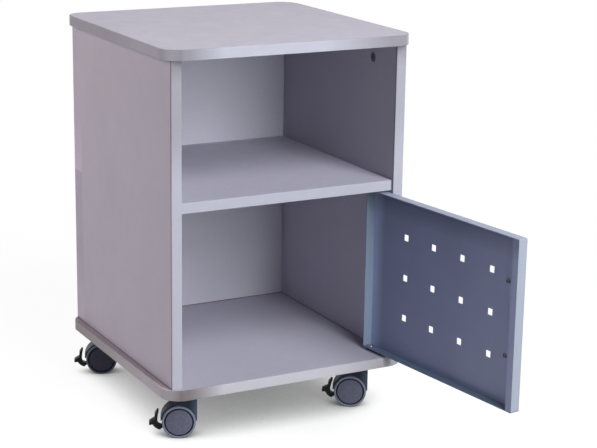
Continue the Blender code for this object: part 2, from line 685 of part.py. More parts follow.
def make_handle(parent, bar_mat, screw_mat):
    foot_y = -DOOR_DEPTH / 2 - SEAT_GAP
    mesh = bar_mesh("door_handle", handle_path(), HANDLE_BAR_RADIUS)
    handle = add_object("door_handle", mesh, bar_mat, parent, (handle_x(), foot_y, FITTINGS_MIDDLE))
    grip = SCREW_GRIP + SEAT_GAP
    bore = cylinder_mesh("handle_bore", SCREW_RADIUS + SEAT_GAP, -grip, grip, "Y")
    head_seat = DOOR_SHEET + SEAT_GAP
    profile = (
        (0, -SCREW_GRIP),
        (SCREW_RADIUS, -SCREW_GRIP),
        (SCREW_RADIUS, head_seat),
        (SCREW_HEAD_RADIUS, head_seat),
        (SCREW_HEAD_RADIUS, head_seat + SCREW_HEAD_HEIGHT / 2),
        (SCREW_HEAD_TOP_RADIUS, head_seat + SCREW_HEAD_HEIGHT),
        (0, head_seat + SCREW_HEAD_HEIGHT),
    )
    screw = add_object("handle_screw", turned_mesh("handle_screw", profile, "Y"), screw_mat)
    slot = upright_mesh("screw_slot", cross_outline(SCREW_SLOT_LENGTH, SCREW_SLOT_WIDTH), SCREW_SLOT_DEPTH)
    cut(screw, "screw_slot", slot, (0, head_seat + SCREW_HEAD_HEIGHT, 0))
    screw_mesh = settle(screw)
    for end, sign in (("lower", -1), ("upper", 1)):
        z = FITTINGS_MIDDLE + sign * HANDLE_PITCH / 2
        cut(handle, "handle_bore_" + end, bore, (handle_x(), foot_y, z), parent)
        add_object("handle_screw_" + end, screw_mesh, screw_mat, parent, (handle_x(), -DOOR_DEPTH / 2, z))


def stem_mesh():
    """Stem in the base, collar under it, ball-race cup and kingpin in the hood."""
    collar_top = BASE_UNDER - SEAT_GAP
    race_top = collar_top - COLLAR_HEIGHT
    tip = BASE_UNDER + STEM_IN_BASE
    profile = (
        (0, tip),
        (STEM_RADIUS - STEM_TIP, tip),
        (STEM_RADIUS, tip - STEM_TIP),
        (STEM_RADIUS, collar_top),
        (COLLAR_RADIUS, collar_top),
        (COLLAR_RADIUS, race_top),
        (RACE_RADIUS, race_top - STEM_TIP),
        (RACE_RADIUS, HOOD_TOP + RUNNING_GAP),
        (KING_RADIUS, HOOD_TOP + RUNNING_GAP),
        (KING_RADIUS, HOOD_TOP - KING_DEPTH),
        (0, HOOD_TOP - KING_DEPTH),
    )
    return turned_mesh("castor_stem", profile)


def hood_outline():
    """Side view of the hood from the wheels' centre: back, top, fender, lever cheek and axle boss."""
    back_and_top = [(-HOOD_BACK, HOOD_BACK_FOOT), (-HOOD_BACK, HOOD_HEIGHT), (HOOD_TOP_FRONT, HOOD_HEIGHT)]
    fender = arc_points((0, 0), FENDER_RADIUS, FENDER_FROM_DEG, FENDER_TO_DEG, FENDER_STEPS)
    fender_foot = (HOOD_CAVITY_RADIUS * math.cos(math.radians(FENDER_TO_DEG)), fender[-1][1])
    lever_pivot = (LEVER_PIVOT_OUT, LEVER_PIVOT_UP)
    cheek = arc_points(lever_pivot, LEVER_CHEEK_BOSS, CHEEK_FROM_DEG, CHEEK_TO_DEG, BEND_STEPS)
    boss = arc_points((0, 0), AXLE_BOSS_RADIUS, AXLE_BOSS_FROM_DEG, AXLE_BOSS_TO_DEG, BEND_STEPS)
    under_back = (-WHEEL_RADIUS, -HOOD_BACK_FOOT / 2)
    return back_and_top + fender + [fender_foot] + cheek + boss + [under_back]


def hood_mesh(mat):
    """Hood with the two wheel spaces, axle hole, kingpin bore and the brake lever's slot."""
    shell = upright_mesh("castor_hood", hood_outline(), HOOD_HALF_WIDTH, HOOD_EDGE)
    hood = add_object("castor_hood", shell, mat)
    past_side = 2 * HOOD_HALF_WIDTH
    space = cylinder_mesh("wheel_space", HOOD_CAVITY_RADIUS, WEB_HALF, past_side, "Y", WHEEL_STEPS)
    for name, turn in (("near", math.pi), ("far", 0)):
        tool = make_tool("wheel_space_" + name, space)
        tool.rotation_euler = (0, 0, turn)
        add_modifier(hood, tool, "DIFFERENCE")
    axle_hole = cylinder_mesh("axle_hole", AXLE_RADIUS + SEAT_GAP, -2 * WEB_HALF, 2 * WEB_HALF, "Y")
    cut(hood, "axle_hole", axle_hole)
    king_bottom = HOOD_HEIGHT - KING_DEPTH - SEAT_GAP
    king_bore = cylinder_mesh("king_bore", KING_RADIUS + SEAT_GAP, king_bottom, HOOD_HEIGHT + BOARD)
    cut(hood, "king_bore", king_bore, (-TRAIL, 0, 0))
    slot_half = LEVER_TAIL_HALF + SEAT_GAP
    slot_in = LEVER_PIVOT_OUT - LEVER_PIVOT_BOSS - RUNNING_GAP
    slot_low = (slot_in, -slot_half, -WHEEL_RADIUS)
    slot_high = (PEDAL_OUT, slot_half, LEVER_PIVOT_UP + LEVER_PIVOT_BOSS + RUNNING_GAP)
    cut(hood, "lever_slot", box_mesh("lever_slot", slot_low, slot_high))
    trunnion_bore = LEVER_TRUNNION_RADIUS + SEAT_GAP
    trunnion_hole = cylinder_mesh("trunnion_hole", trunnion_bore, -2 * WEB_HALF, 2 * WEB_HALF, "Y")
    cut(hood, "trunnion_hole", trunnion_hole, (LEVER_PIVOT_OUT, 0, LEVER_PIVOT_UP))
    return settle(hood)


def lever_outline():
    """Side view of the lever outside the hood, from the wheels' centre: prong, pedal and root."""
    prong_outer = PRONG_INNER_OUT + PRONG_WIDTH
    pedal_end_top = PEDAL_UP - PEDAL_DROP
    pedal_under = pedal_end_top - PEDAL_THICKNESS
    return [
        (LEVER_ROOT_OUT, LEVER_ROOT_TOP),
        (PRONG_INNER_OUT - PEDAL_SLOPE, LEVER_ROOT_TOP + PEDAL_SLOPE),
        (PRONG_INNER_OUT, LEVER_ROOT_TOP + PRONG_BEND),
        (PRONG_INNER_OUT - PRONG_LEAN, PEDAL_UP),
        (PRONG_INNER_OUT - PRONG_CURL_LEAN, PRONG_TIP_UP - PRONG_CURL),
        (PRONG_TIP_OUT, PRONG_TIP_UP),
        (PRONG_TIP_OUT + PRONG_TIP_WIDTH, PRONG_TIP_UP),
        (prong_outer - PRONG_OUTER_LEAN, PRONG_TIP_UP - PRONG_CURL),
        (prong_outer, PEDAL_UP + PEDAL_SLOPE),
        (PEDAL_OUT - PEDAL_SLOPE, pedal_end_top),
        (PEDAL_OUT, pedal_under),
        (PEDAL_OUT - PEDAL_NOSE, pedal_under + PEDAL_SLOPE / 2),
        (prong_outer + PEDAL_SLOPE, LEVER_ROOT_BOTTOM + LEVER_ROOT_RISE + PEDAL_SLOPE),
        (LEVER_ROOT_OUT + PRONG_WIDTH, LEVER_ROOT_BOTTOM + PEDAL_SLOPE),
        (LEVER_ROOT_OUT, LEVER_ROOT_BOTTOM),
    ]


def lever_tail_outline():
    """Side view of the thin tail that runs between the wheels to the lever's pivot."""
    boss = arc_points((LEVER_PIVOT_OUT, LEVER_PIVOT_UP), LEVER_PIVOT_BOSS, 90, 270, 2 * BEND_STEPS)
    top = LEVER_ROOT_TOP - LEVER_EDGE
    inside_root = LEVER_ROOT_OUT + PRONG_WIDTH - LEVER_EDGE
    return boss + [
        (inside_root, LEVER_ROOT_BOTTOM + PEDAL_SLOPE + LEVER_EDGE),
        (inside_root, top),
        (LEVER_ROOT_OUT - PRONG_WIDTH, top),
    ]


def lever_throat_mesh():
    """The root's narrow end, which reaches in between the wheels."""
    inside_root = LEVER_ROOT_OUT + PRONG_WIDTH - LEVER_EDGE
    low = (LEVER_THROAT_IN, -LEVER_THROAT_HALF, LEVER_ROOT_BOTTOM + PEDAL_SLOPE + LEVER_EDGE)
    high = (inside_root, LEVER_THROAT_HALF, LEVER_ROOT_TOP - LEVER_EDGE)
    return box_mesh("lever_throat", low, high)


def lever_mesh(mat):
    body = upright_mesh("brake_lever", lever_outline(), LEVER_PEDAL_HALF, LEVER_EDGE)
    lever = add_object("brake_lever", body, mat)
    join(lever, "lever_throat", lever_throat_mesh())
    join(lever, "lever_tail", upright_mesh("lever_tail", lever_tail_outline(), LEVER_TAIL_HALF))
    half = LEVER_TRUNNION_HALF
    trunnion = cylinder_mesh("trunnion", LEVER_TRUNNION_RADIUS, -half, half, "Y")
    join(lever, "lever_trunnion", trunnion, (LEVER_PIVOT_OUT, 0, LEVER_PIVOT_UP))
    mesh = settle(lever)
    mesh.transform(Matrix.Translation((-LEVER_PIVOT_OUT, 0, -LEVER_PIVOT_UP)))
    return mesh


def tyre_mesh():
    shoulder = arc_points((WHEEL_RADIUS - WHEEL_EDGE, WHEEL_OUTER - WHEEL_EDGE), WHEEL_EDGE, 0, 90, 2)
    inner_side = [(TREAD_INNER_RADIUS, WHEEL_INNER), (WHEEL_RADIUS, WHEEL_INNER)]
    profile = inner_side + shoulder + [(TREAD_INNER_RADIUS, WHEEL_OUTER)]
    return turned_mesh("castor_tyre", profile, "Y", WHEEL_STEPS)


def hub_mesh():
    bore = AXLE_RADIUS + SEAT_GAP
    rim = TREAD_INNER_RADIUS - SEAT_GAP
    profile = (
        (0, AXLE_END + SEAT_GAP),
        (bore, AXLE_END + SEAT_GAP),
        (bore, WHEEL_INNER),
        (rim, WHEEL_INNER),
        (rim, WHEEL_OUTER - HUB_GROOVE_DEPTH),
        (HUB_DISC_RADIUS, WHEEL_OUTER - HUB_GROOVE_DEPTH),
        (HUB_DISC_RADIUS, WHEEL_OUTER - HUB_CROWN),
        (HUB_DISC_RADIUS - HUB_CROWN, WHEEL_OUTER),
        (HUB_DISC_RADIUS / 2, WHEEL_OUTER + HUB_CROWN),
        (0, WHEEL_OUTER + HUB_CROWN),
    )
    return turned_mesh("castor_hub", profile, "Y", WHEEL_STEPS)


def axle_mesh():
    profile = (
        (0, -AXLE_END),
        (AXLE_RADIUS - AXLE_CHAMFER, -AXLE_END),
        (AXLE_RADIUS, -AXLE_END + AXLE_CHAMFER),
        (AXLE_RADIUS, AXLE_END - AXLE_CHAMFER),
        (AXLE_RADIUS - AXLE_CHAMFER, AXLE_END),
        (0, AXLE_END),
    )
    return turned_mesh("castor_axle", profile, "Y")


def make_castors(mats):
    meshes = {
        "stem": stem_mesh(),
        "hood": hood_mesh(mats["hood"]),
        "lever": lever_mesh(mats["lever"]),
        "tyre": tyre_mesh(),
        "hub": hub_mesh(),
        "axle": axle_mesh(),
    }
    for name, sign_x, sign_y in cabinet_corners():
        x, y = stem_place(sign_x, sign_y)
        add_object("castor_stem_" + name, meshes["stem"], mats["steel"], None, (x, y, 0))
        turn = math.radians(180 - CASTOR_TURN_DEG[name])
        swivel = add_empty("castor_swivel_" + name, (x, y, 0), turn)
        centre = (TRAIL, 0, WHEEL_RADIUS)
        add_object("castor_hood_" + name, meshes["hood"], mats["hood"], swivel, centre)
        add_object("castor_axle_" + name, meshes["axle"], mats["steel"], swivel, centre)
        lever_place = (TRAIL + LEVER_PIVOT_OUT, 0, WHEEL_RADIUS + LEVER_PIVOT_UP)
        lever = add_object("brake_lever_" + name, meshes["lever"], mats["lever"], swivel, lever_place)
        lever.rotation_euler = (0, math.radians(BRAKE_PRESS_DEG[name]), 0)
        for side, wheel_turn in (("near", 0), ("far", math.pi)):
            for piece in ("tyre", "hub"):
                wheel_name = "castor_%s_%s_%s" % (piece, name, side)
                add_object(wheel_name, meshes[piece], mats[piece], swivel, centre, wheel_turn)


def main():
    clear_scene()
    board = make_material("board_grey", (0.46, 0.44, 0.50), 0.55)
    band = make_material("edge_band", (0.54, 0.54, 0.62), 0.45)
    wood = make_material("beech_dowel", (0.62, 0.45, 0.28), 0.7)
    zinc = make_material("zinc_fitting", (0.35, 0.35, 0.37), 0.4, 0.9)
    door_paint = make_material("door_paint", (0.10, 0.12, 0.19), 0.45)
    steel = make_material("bright_steel", (0.62, 0.62, 0.64), 0.25, 1.0)
    bush = make_material("bush_plastic", (0.05, 0.05, 0.06), 0.5)
    handle = make_material("handle_finish", (0.55, 0.56, 0.58), 0.35, 0.9)
    castor_mats = {
        "steel": steel,
        "hood": make_material("hood_plastic", (0.06, 0.07, 0.11), 0.45),
        "lever": make_material("lever_plastic", (0.01, 0.01, 0.012), 0.4),
        "tyre": make_material("tyre_grey", (0.16, 0.18, 0.24), 0.6),
        "hub": make_material("hub_plastic", (0.12, 0.12, 0.17), 0.45),
    }
    make_top(board, band)
    make_base(board, band)
    make_side("left", -1, board, band)
    make_side("right", 1, board, band)
    make_back(board)
    make_shelf(board, band)
    make_shelf_dowels(wood)
    make_cam_fittings(zinc)
    pivot = add_empty("door_pivot", (PIVOT_X, PIVOT_Y, 0), math.radians(DOOR_OPEN_DEG))
    make_door(pivot, door_paint)
    make_hinge_pins(pivot, steel)
    make_hinge_bushes(bush)
    make_handle(pivot, handle, steel)
    make_castors(castor_mats)


main()
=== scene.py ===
# Looks of the office cart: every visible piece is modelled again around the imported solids, with
# rounded edges and bends, and gets a procedural finish. Metres, +Z up, the cart's front faces -Y.

import json
import math

import bmesh
import bpy
from mathutils import Matrix, Vector


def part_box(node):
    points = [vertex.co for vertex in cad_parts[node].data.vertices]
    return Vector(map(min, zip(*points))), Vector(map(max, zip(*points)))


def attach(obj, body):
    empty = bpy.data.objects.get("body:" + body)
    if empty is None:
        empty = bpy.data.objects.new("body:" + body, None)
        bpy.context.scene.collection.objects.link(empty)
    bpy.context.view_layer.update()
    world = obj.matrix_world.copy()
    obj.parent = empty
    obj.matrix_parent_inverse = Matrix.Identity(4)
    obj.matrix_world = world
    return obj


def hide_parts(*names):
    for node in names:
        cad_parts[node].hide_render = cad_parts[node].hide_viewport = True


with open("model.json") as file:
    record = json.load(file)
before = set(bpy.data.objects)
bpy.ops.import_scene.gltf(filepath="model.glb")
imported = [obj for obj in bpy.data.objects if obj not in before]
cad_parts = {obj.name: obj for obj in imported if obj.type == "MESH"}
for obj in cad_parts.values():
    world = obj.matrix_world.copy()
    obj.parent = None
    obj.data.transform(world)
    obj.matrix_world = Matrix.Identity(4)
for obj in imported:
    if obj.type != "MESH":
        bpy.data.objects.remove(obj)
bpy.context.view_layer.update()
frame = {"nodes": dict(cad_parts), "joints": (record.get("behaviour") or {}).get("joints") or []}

MM = 0.001
SAME = 0.001 * MM

# Camera, solved on the cabinet's edges in the photograph; its azimuth is towards the left
PICTURE_WIDTH = 597
FOCAL_PIXELS = 1699.04
SENSOR_WIDTH = 36.0
CAMERA_PLACE = (-1.12945, -2.31029, 0.95551)
CAMERA_AZIMUTH_DEG = 28.316
CAMERA_ELEVATION_DEG = 14.943
CAMERA_ROLL_DEG = 0.925

# Rounding of the boards and bands
CORNER_RADIUS = 30 * MM
BAND = 2 * MM
GLUE_GAP = 0.2 * MM
BAND_EDGE = 0.9 * MM
BOARD_EDGE = 0.25 * MM
SEAT_GAP = 0.3 * MM
RUNNING_GAP = 0.4 * MM

# Cam fittings
CAM_RADIUS = 7.5 * MM
CAM_DEPTH = 12 * MM
CAM_EDGE = 0.7 * MM
CAM_SLOT_LENGTH = 9 * MM
CAM_SLOT_WIDTH = 1.8 * MM
CAM_SLOT_DEPTH = 2.2 * MM

# Door
DOOR_SHEET = 1.2 * MM
DOOR_BEND_RADIUS = 1.6 * MM
DOOR_INNER_RADIUS = 0.7 * MM
DOOR_LIP = 12 * MM
PERFORATION = 10 * MM
PERFORATION_CORNER = 0.5 * MM
PERFORATION_PITCH_ACROSS = 64.3 * MM
PERFORATION_PITCH_UP = 63 * MM
PERFORATION_OFF_MIDDLE = 5.4 * MM
FITTINGS_ABOVE_MIDDLE = 2 * MM
PERFORATION_COLUMNS = 4
PERFORATION_ROWS = 3
HANDLE_PITCH = 110 * MM
HANDLE_FROM_EDGE = 33.7 * MM
HANDLE_BAR_RADIUS = 4.5 * MM
HANDLE_REACH = 18 * MM
HANDLE_BEND_RADIUS = 9 * MM
SCREW_HEAD_RADIUS = 3.6 * MM
SCREW_HEAD_HEIGHT = 2 * MM
SCREW_CROWN_SHARE = 0.62
SCREW_FLAT_SHARE = 0.7
SCREW_RADIUS = 2 * MM
SCREW_GRIP = 9 * MM
SCREW_SLOT_LENGTH = 4.6 * MM
SCREW_SLOT_WIDTH = 0.9 * MM
SCREW_SLOT_DEPTH = 1.0 * MM
PIN_RADIUS = 2.5 * MM
PIN_HEAD_RADIUS = 4 * MM
PIN_HEAD_HEIGHT = 1.4 * MM
BUSH_COLLAR_RADIUS = 6.3 * MM
LOWER_COLLAR_HEIGHT = 3.4 * MM
UPPER_COLLAR_HEIGHT = 2.4 * MM

# Castors, measured from the wheels' centre: outwards from the stem, sideways and up
WHEEL_RADIUS = 25 * MM
WHEEL_INNER = 5.4 * MM
WHEEL_OUTER = 16 * MM
TYRE_SHOULDER = 2.2 * MM
TREAD_INNER_RADIUS = 21.9 * MM
HUB_DISC_RADIUS = 19.8 * MM
HUB_GROOVE_DEPTH = 1.6 * MM
HUB_CROWN = 0.9 * MM
HUB_FACE = 2.8 * MM
TRAIL = 16 * MM
WEB_HALF = 5 * MM
AXLE_RADIUS = 3 * MM
HOOD_HALF_WIDTH = 13.5 * MM
HOOD_HEIGHT = 34 * MM
HOOD_BACK = 27 * MM
HOOD_BACK_FOOT = 3 * MM
HOOD_SHELL = 1.6 * MM
HOOD_WHEEL_GAP = 0.6 * MM
HOOD_EDGE = 0.5 * MM
HOOD_TOP_FRONT = -6 * MM
FENDER_DEG = (74, 5)
CHEEK_DEG = (-5, -85)
AXLE_BOSS_RADIUS = 7.5 * MM
AXLE_BOSS_DEG = (-70, -150)
STEM_RADIUS = 5.2 * MM
STEM_IN_BASE = 12 * MM
COLLAR_RADIUS = 13 * MM
COLLAR_HEIGHT = 3 * MM
RACE_RADIUS = 11 * MM
KING_RADIUS = 3.5 * MM
KING_DEPTH = 24 * MM
LEVER_PIVOT = (18.5 * MM, -7 * MM)
LEVER_PIVOT_BOSS = 4 * MM
LEVER_CHEEK_BOSS = 5 * MM
LEVER_TRUNNION_RADIUS = 1.8 * MM
LEVER_TRUNNION_HALF = 4.6 * MM
LEVER_TAIL_HALF = 1.9 * MM
LEVER_PEDAL_HALF = 6 * MM
LEVER_THROAT_HALF = 4.9 * MM
LEVER_EDGE = 0.5 * MM
# The lever's throat, from the hood's slot out to the pedal's root, seen from the side
THROAT_OUT = (24.8 * MM, 30.6 * MM)
THROAT_UP = (-12.3 * MM, -7.7 * MM)
TAIL_INNER_OUT = 23.9 * MM

# Facets
CORNER_STEPS = 24
TURN_STEPS = 64
WHEEL_STEPS = 128
FILLET_STEPS = 5
BEND_STEPS = 10
BAR_STEPS = 28
SHARP = math.radians(32)


def finish_mesh(name, bm):
    bmesh.ops.recalc_face_normals(bm, faces=bm.faces)
    mesh = bpy.data.meshes.new(name)
    bm.to_mesh(mesh)
    bm.free()
    mesh.shade_smooth()
    mesh.set_sharp_from_angle(angle=SHARP)
    return mesh


def new_object(name, mesh):
    obj = bpy.data.objects.new(name, mesh)
    bpy.context.scene.collection.objects.link(obj)
    return obj


MATERIALS = {}


def add_piece(name, mesh, finish, body, node, matrix=None):
    """One visible piece: it rides on a body and stands for a CAD node."""
    mesh.materials.clear()
    mesh.materials.append(MATERIALS[finish])
    obj = new_object(name, mesh)
    if matrix is not None:
        obj.matrix_world = matrix
    even = obj.modifiers.new("even_shading", "WEIGHTED_NORMAL")
    even.keep_sharp = True
    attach(obj, body)
    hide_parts(node)


def filleted(corners, closed=True, steps=FILLET_STEPS):
    """Points of an outline whose corners are (a, b, radius), each rounded by its radius."""
    points = []
    count = len(corners)
    for i, (a, b, radius) in enumerate(corners):
        here = Vector((a, b))
        ends = not closed and i in (0, count - 1)
        if radius == 0 or ends:
            points.append((a, b))
            continue
        before = Vector(corners[i - 1][:2]) - here
        after = Vector(corners[(i + 1) % count][:2]) - here
        half = before.angle(after) / 2
        reach = min(radius / math.tan(half), 0.49 * before.length, 0.49 * after.length)
        fit = reach * math.tan(half)
        middle = here + (before.normalized() + after.normalized()).normalized() * (fit / math.sin(half))
        start = here + before.normalized() * reach - middle
        end = here + after.normalized() * reach - middle
        sweep = start.angle_signed(end)
        for k in range(steps + 1):
            spoke = Matrix.Rotation(-sweep * k / steps, 2) @ start
            points.append(tuple(middle + spoke))
    return points


def arc_points(centre, radius, degrees, steps):
    points = []
    for k in range(steps + 1):
        angle = math.radians(degrees[0] + (degrees[1] - degrees[0]) * k / steps)
        points.append((centre[0] + radius * math.cos(angle), centre[1] + radius * math.sin(angle)))
    return points


def skin_rings(bm, rings, close_rings):
    pairs = list(zip(rings, rings[1:]))
    if close_rings:
        pairs.append((rings[-1], rings[0]))
    for first, second in pairs:
        count = len(first)
        for i in range(count):
            j = (i + 1) % count
            bm.faces.new((first[i], first[j], second[j], second[i]))


def turned_mesh(name, profile, axis="Z", steps=TURN_STEPS):
    """Turn (radius, along) points about an axis: a solid from radius 0 to radius 0, else a ring."""
    bm = bmesh.new()
    solid = profile[0][0] == 0 and profile[-1][0] == 0
    inner = profile[1:-1] if solid else profile
    rings = []
    for radius, along in inner:
        ring = []
        for k in range(steps):
            angle = 2 * math.pi * k / steps
            ring.append(bm.verts.new((radius * math.cos(angle), radius * math.sin(angle), along)))
        rings.append(ring)
    skin_rings(bm, rings, close_rings=not solid)
    if solid:
        for ring, tip in ((rings[0], profile[0][1]), (rings[-1], profile[-1][1])):
            centre = bm.verts.new((0, 0, tip))
            for i in range(steps):
                bm.faces.new((ring[i], ring[(i + 1) % steps], centre))
    turn = {"Z": Matrix(), "Y": Matrix.Rotation(-math.pi / 2, 4, "X"),
            "X": Matrix.Rotation(math.pi / 2, 4, "Y")}[axis]
    bmesh.ops.transform(bm, matrix=turn, verts=bm.verts)
    return finish_mesh(name, bm)


def cylinder_mesh(name, radius, low, high, axis="Z"):
    return turned_mesh(name, ((0, low), (radius, low), (radius, high), (0, high)), axis)


def box_mesh(name, low, high, edge=0.0, edge_test=None, steps=3):
    """A cuboid whose edges, or those that edge_test picks, are rounded."""
    bm = bmesh.new()
    bmesh.ops.create_cube(bm, size=1.0)
    low, high = Vector(low), Vector(high)
    for vert in bm.verts:
        vert.co = Vector(low[i] + (vert.co[i] + 0.5) * (high[i] - low[i]) for i in range(3))
    if edge > 0:
        picked = [e for e in bm.edges if edge_test is None or edge_test(e)]
        bmesh.ops.bevel(bm, geom=picked, offset=edge, segments=steps, profile=0.5, affect="EDGES")
    return finish_mesh(name, bm)


def upright_mesh(name, outline, half_width, edge=0.0):
    """Extrude an outline of (out, up) points sideways and round its two rims."""
    bm = bmesh.new()
    verts = [bm.verts.new((out, -half_width, up)) for out, up in outline]
    face = bm.faces.new(verts)
    grown = bmesh.ops.extrude_face_region(bm, geom=[face])
    moved = [item for item in grown["geom"] if isinstance(item, bmesh.types.BMVert)]
    bmesh.ops.translate(bm, vec=(0, 2 * half_width, 0), verts=moved)
    if edge > 0:
        rims = [e for e in bm.edges if abs(e.verts[0].co.y - e.verts[1].co.y) < half_width]
        bmesh.ops.bevel(bm, geom=rims, offset=edge, segments=3, profile=0.5, affect="EDGES")
    return finish_mesh(name, bm)


def cross_outline(length, width):
    far, near = length / 2, width / 2
    arm = [(near, near), (near, far), (-near, far)]
    outline = []
    for _ in range(4):
        outline += arm
        arm = [(-up, out) for out, up in arm]
    return outline


def combine(mesh, tools, operation="DIFFERENCE"):
    """Cut a mesh by tools of (mesh, matrix), or join them to it."""
    body = new_object(mesh.name, mesh)
    helpers = []
    for tool_mesh, matrix in tools:
        tool = new_object(tool_mesh.name, tool_mesh)
        tool.matrix_world = matrix
        mod = body.modifiers.new(tool.name, "BOOLEAN")
        mod.operation = operation
        mod.solver = "EXACT"
        mod.object = tool
        helpers.append(tool)
    bpy.context.view_layer.update()
    graph = bpy.context.evaluated_depsgraph_get()
    result = bpy.data.meshes.new_from_object(body.evaluated_get(graph))
    result.name = mesh.name
    for helper in helpers + [body]:
        bpy.data.objects.remove(helper, do_unlink=True)
    result.shade_smooth()
    result.set_sharp_from_angle(angle=SHARP)
    return result


def move(x=0.0, y=0.0, z=0.0):
    return Matrix.Translation((x, y, z))


def edge_span(edge):
    first, second = (vert.co for vert in edge.verts)
    return Vector(abs(first[i] - second[i]) for i in range(3))


def frame_from(origin, axis_y):
    """Placement whose Y axis is a joint's axis and whose Z axis is up."""
    across = Vector(axis_y).normalized()
    up = Vector((0, 0, 1))
    out = across.cross(up)
    place = Matrix((out, across, up)).transposed().to_4x4()
    place.translation = Vector(origin)
    return place


def joint(name):
    return next(j for j in frame["joints"] if j["name"] == name)


# Materials


class Shader:
    """Builds one Principled material with object coordinates and noise."""

    def __init__(self, name, color, roughness, metallic=0.0, **sockets):
        self.mat = bpy.data.materials.new(name)
        self.mat.use_nodes = True
        self.mat.diffuse_color = (*color, 1.0)
        self.tree = self.mat.node_tree
        self.main = self.tree.nodes["Principled BSDF"]
        self.main.inputs["Base Color"].default_value = (*color, 1.0)
        self.main.inputs["Roughness"].default_value = roughness
        self.main.inputs["Metallic"].default_value = metallic
        for socket, value in sockets.items():
            self.main.inputs[socket.replace("_", " ")].default_value = value
        self.color = color
        self.place = self.add("ShaderNodeTexCoord").outputs["Object"]

    def add(self, kind):
        return self.tree.nodes.new(kind)

    def link(self, source, target):
        self.tree.links.new(source, target)

    def stretched(self, scale):
        mapping = self.add("ShaderNodeMapping")
        mapping.inputs["Scale"].default_value = scale
        self.link(self.place, mapping.inputs["Vector"])
        return mapping.outputs["Vector"]

    def noise(self, scale, detail, place=None):
        node = self.add("ShaderNodeTexNoise")
        node.inputs["Scale"].default_value = scale
        node.inputs["Detail"].default_value = detail
        self.link(place or self.place, node.inputs["Vector"])
        return node.outputs["Fac"]

    def spread(self, value, low, high, to_low=0.0, to_high=1.0):
        node = self.add("ShaderNodeMapRange")
        node.inputs["From Min"].default_value = low
        node.inputs["From Max"].default_value = high
        node.inputs["To Min"].default_value = to_low
        node.inputs["To Max"].default_value = to_high
        self.link(value, node.inputs["Value"])
        return node.outputs["Result"]

    def tint(self, under, color, amount):
        """Mix a colour over another by a mask."""
        node = self.add("ShaderNodeMix")
        node.data_type = "RGBA"
        node.inputs[7].default_value = (*color, 1.0)
        self.link(under, node.inputs[6])
        self.link(amount, node.inputs[0])
        return node.outputs[2]

    def shades(self, scale, amount, place=None, under=None):
        """Vary the colour by a noise, from darker to lighter by the same share."""
        level = self.spread(self.noise(scale, 3.0, place), 0.3, 0.7, 1 - amount, 1 + amount)
        return self.dim(under, level)

    def dim(self, under, level):
        """Multiply a colour, or the material's own, by a level."""
        node = self.add("ShaderNodeMix")
        node.data_type = "RGBA"
        node.blend_type = "MULTIPLY"
        node.inputs[0].default_value = 1.0
        if under is None:
            node.inputs[6].default_value = (*self.color, 1.0)
        else:
            self.link(under, node.inputs[6])
        grey = self.add("ShaderNodeCombineColor")
        for channel in ("Red", "Green", "Blue"):
            self.link(level, grey.inputs[channel])
        self.link(grey.outputs["Color"], node.inputs[7])
        return node.outputs[2]

    def axes(self):
        """X, Y and Z in the object's own frame."""
        node = self.add("ShaderNodeSeparateXYZ")
        self.link(self.place, node.inputs[0])
        return tuple(node.outputs)

    def both(self, first, second):
        """Product of two masks or levels."""
        node = self.add("ShaderNodeMath")
        node.operation = "MULTIPLY"
        self.link(first, node.inputs[0])
        self.link(second, node.inputs[1])
        return node.outputs[0]

    def where(self, mask, level):
        """The level where the mask is 1, else 1."""
        node = self.add("ShaderNodeMix")
        node.inputs[2].default_value = 1.0
        self.link(mask, node.inputs[0])
        self.link(level, node.inputs[3])
        return node.outputs[0]

    def radius(self):
        """Distance from the object's own Y axis."""
        node = self.add("ShaderNodeVectorMath")
        node.operation = "LENGTH"
        self.link(self.stretched((1.0, 0.0, 1.0)), node.inputs[0])
        return node.outputs["Value"]

    def set_color(self, output):
        self.link(output, self.main.inputs["Base Color"])

    def finished(self, rough, bump):
        """Add noises: roughness by (scale, detail, low, high) and bump by (scale, detail, depth)."""
        value = self.spread(self.noise(*rough[:2]), 0.3, 0.7, *rough[2:])
        self.link(value, self.main.inputs["Roughness"])
        node = self.add("ShaderNodeBump")
        node.inputs["Strength"].default_value = 1.0
        node.inputs["Distance"].default_value = bump[2]
        self.link(self.noise(*bump[:2]), node.inputs["Height"])
        self.link(node.outputs["Normal"], self.main.inputs["Normal"])
        return self.mat


# Tones of the boards: each range is where a mask fades in, and may be followed by the levels at its ends.
# Upright boards lie between BASE_LINE and TOP_LINE; their glue line and contact line are darker
SEAM_LINE = (-186.4 * MM, -186.9 * MM)
FOOT_LINE = (87.8 * MM, 87.2 * MM)
BASE_LINE = (86.1 * MM, 86.2 * MM)
TOP_LINE = (566.9 * MM, 566.8 * MM)
SEAM_COLOR = (0.12, 0.10, 0.15)
FOOT_COLOR = (0.16, 0.11, 0.12)
# Painted shade: the narrow ledge of the base beside the left panel is darker
LEDGE_LINE = (-189.6 * MM, -190.1 * MM)
LEDGE_LEVELS = ((82 * MM, 84 * MM), (86.5 * MM, 86.2 * MM))
LEDGE_SHADE_COLOR = (0.33, 0.29, 0.325)
# Painted shade: the right panel's inner face is darker in the upper bay
INNER_FROM = (173.4 * MM, 173.8 * MM)
INNER_TO = (174.3 * MM, 174.1 * MM)
INNER_UPPER_SHADE = (345 * MM, 346 * MM, 1.0, 0.83)
# Painted light and shade: the back is lighter low in each bay
BACK_LINE = (155 * MM, 162 * MM)
BAY_LINE = (335 * MM, 336 * MM)
BACK_UPPER_PAINTED_LIGHT = (350 * MM, 430 * MM, 1.18, 1.0)
BACK_LOWER_PAINTED_LIGHT = (88 * MM, 190 * MM, 1.1, 0.9)


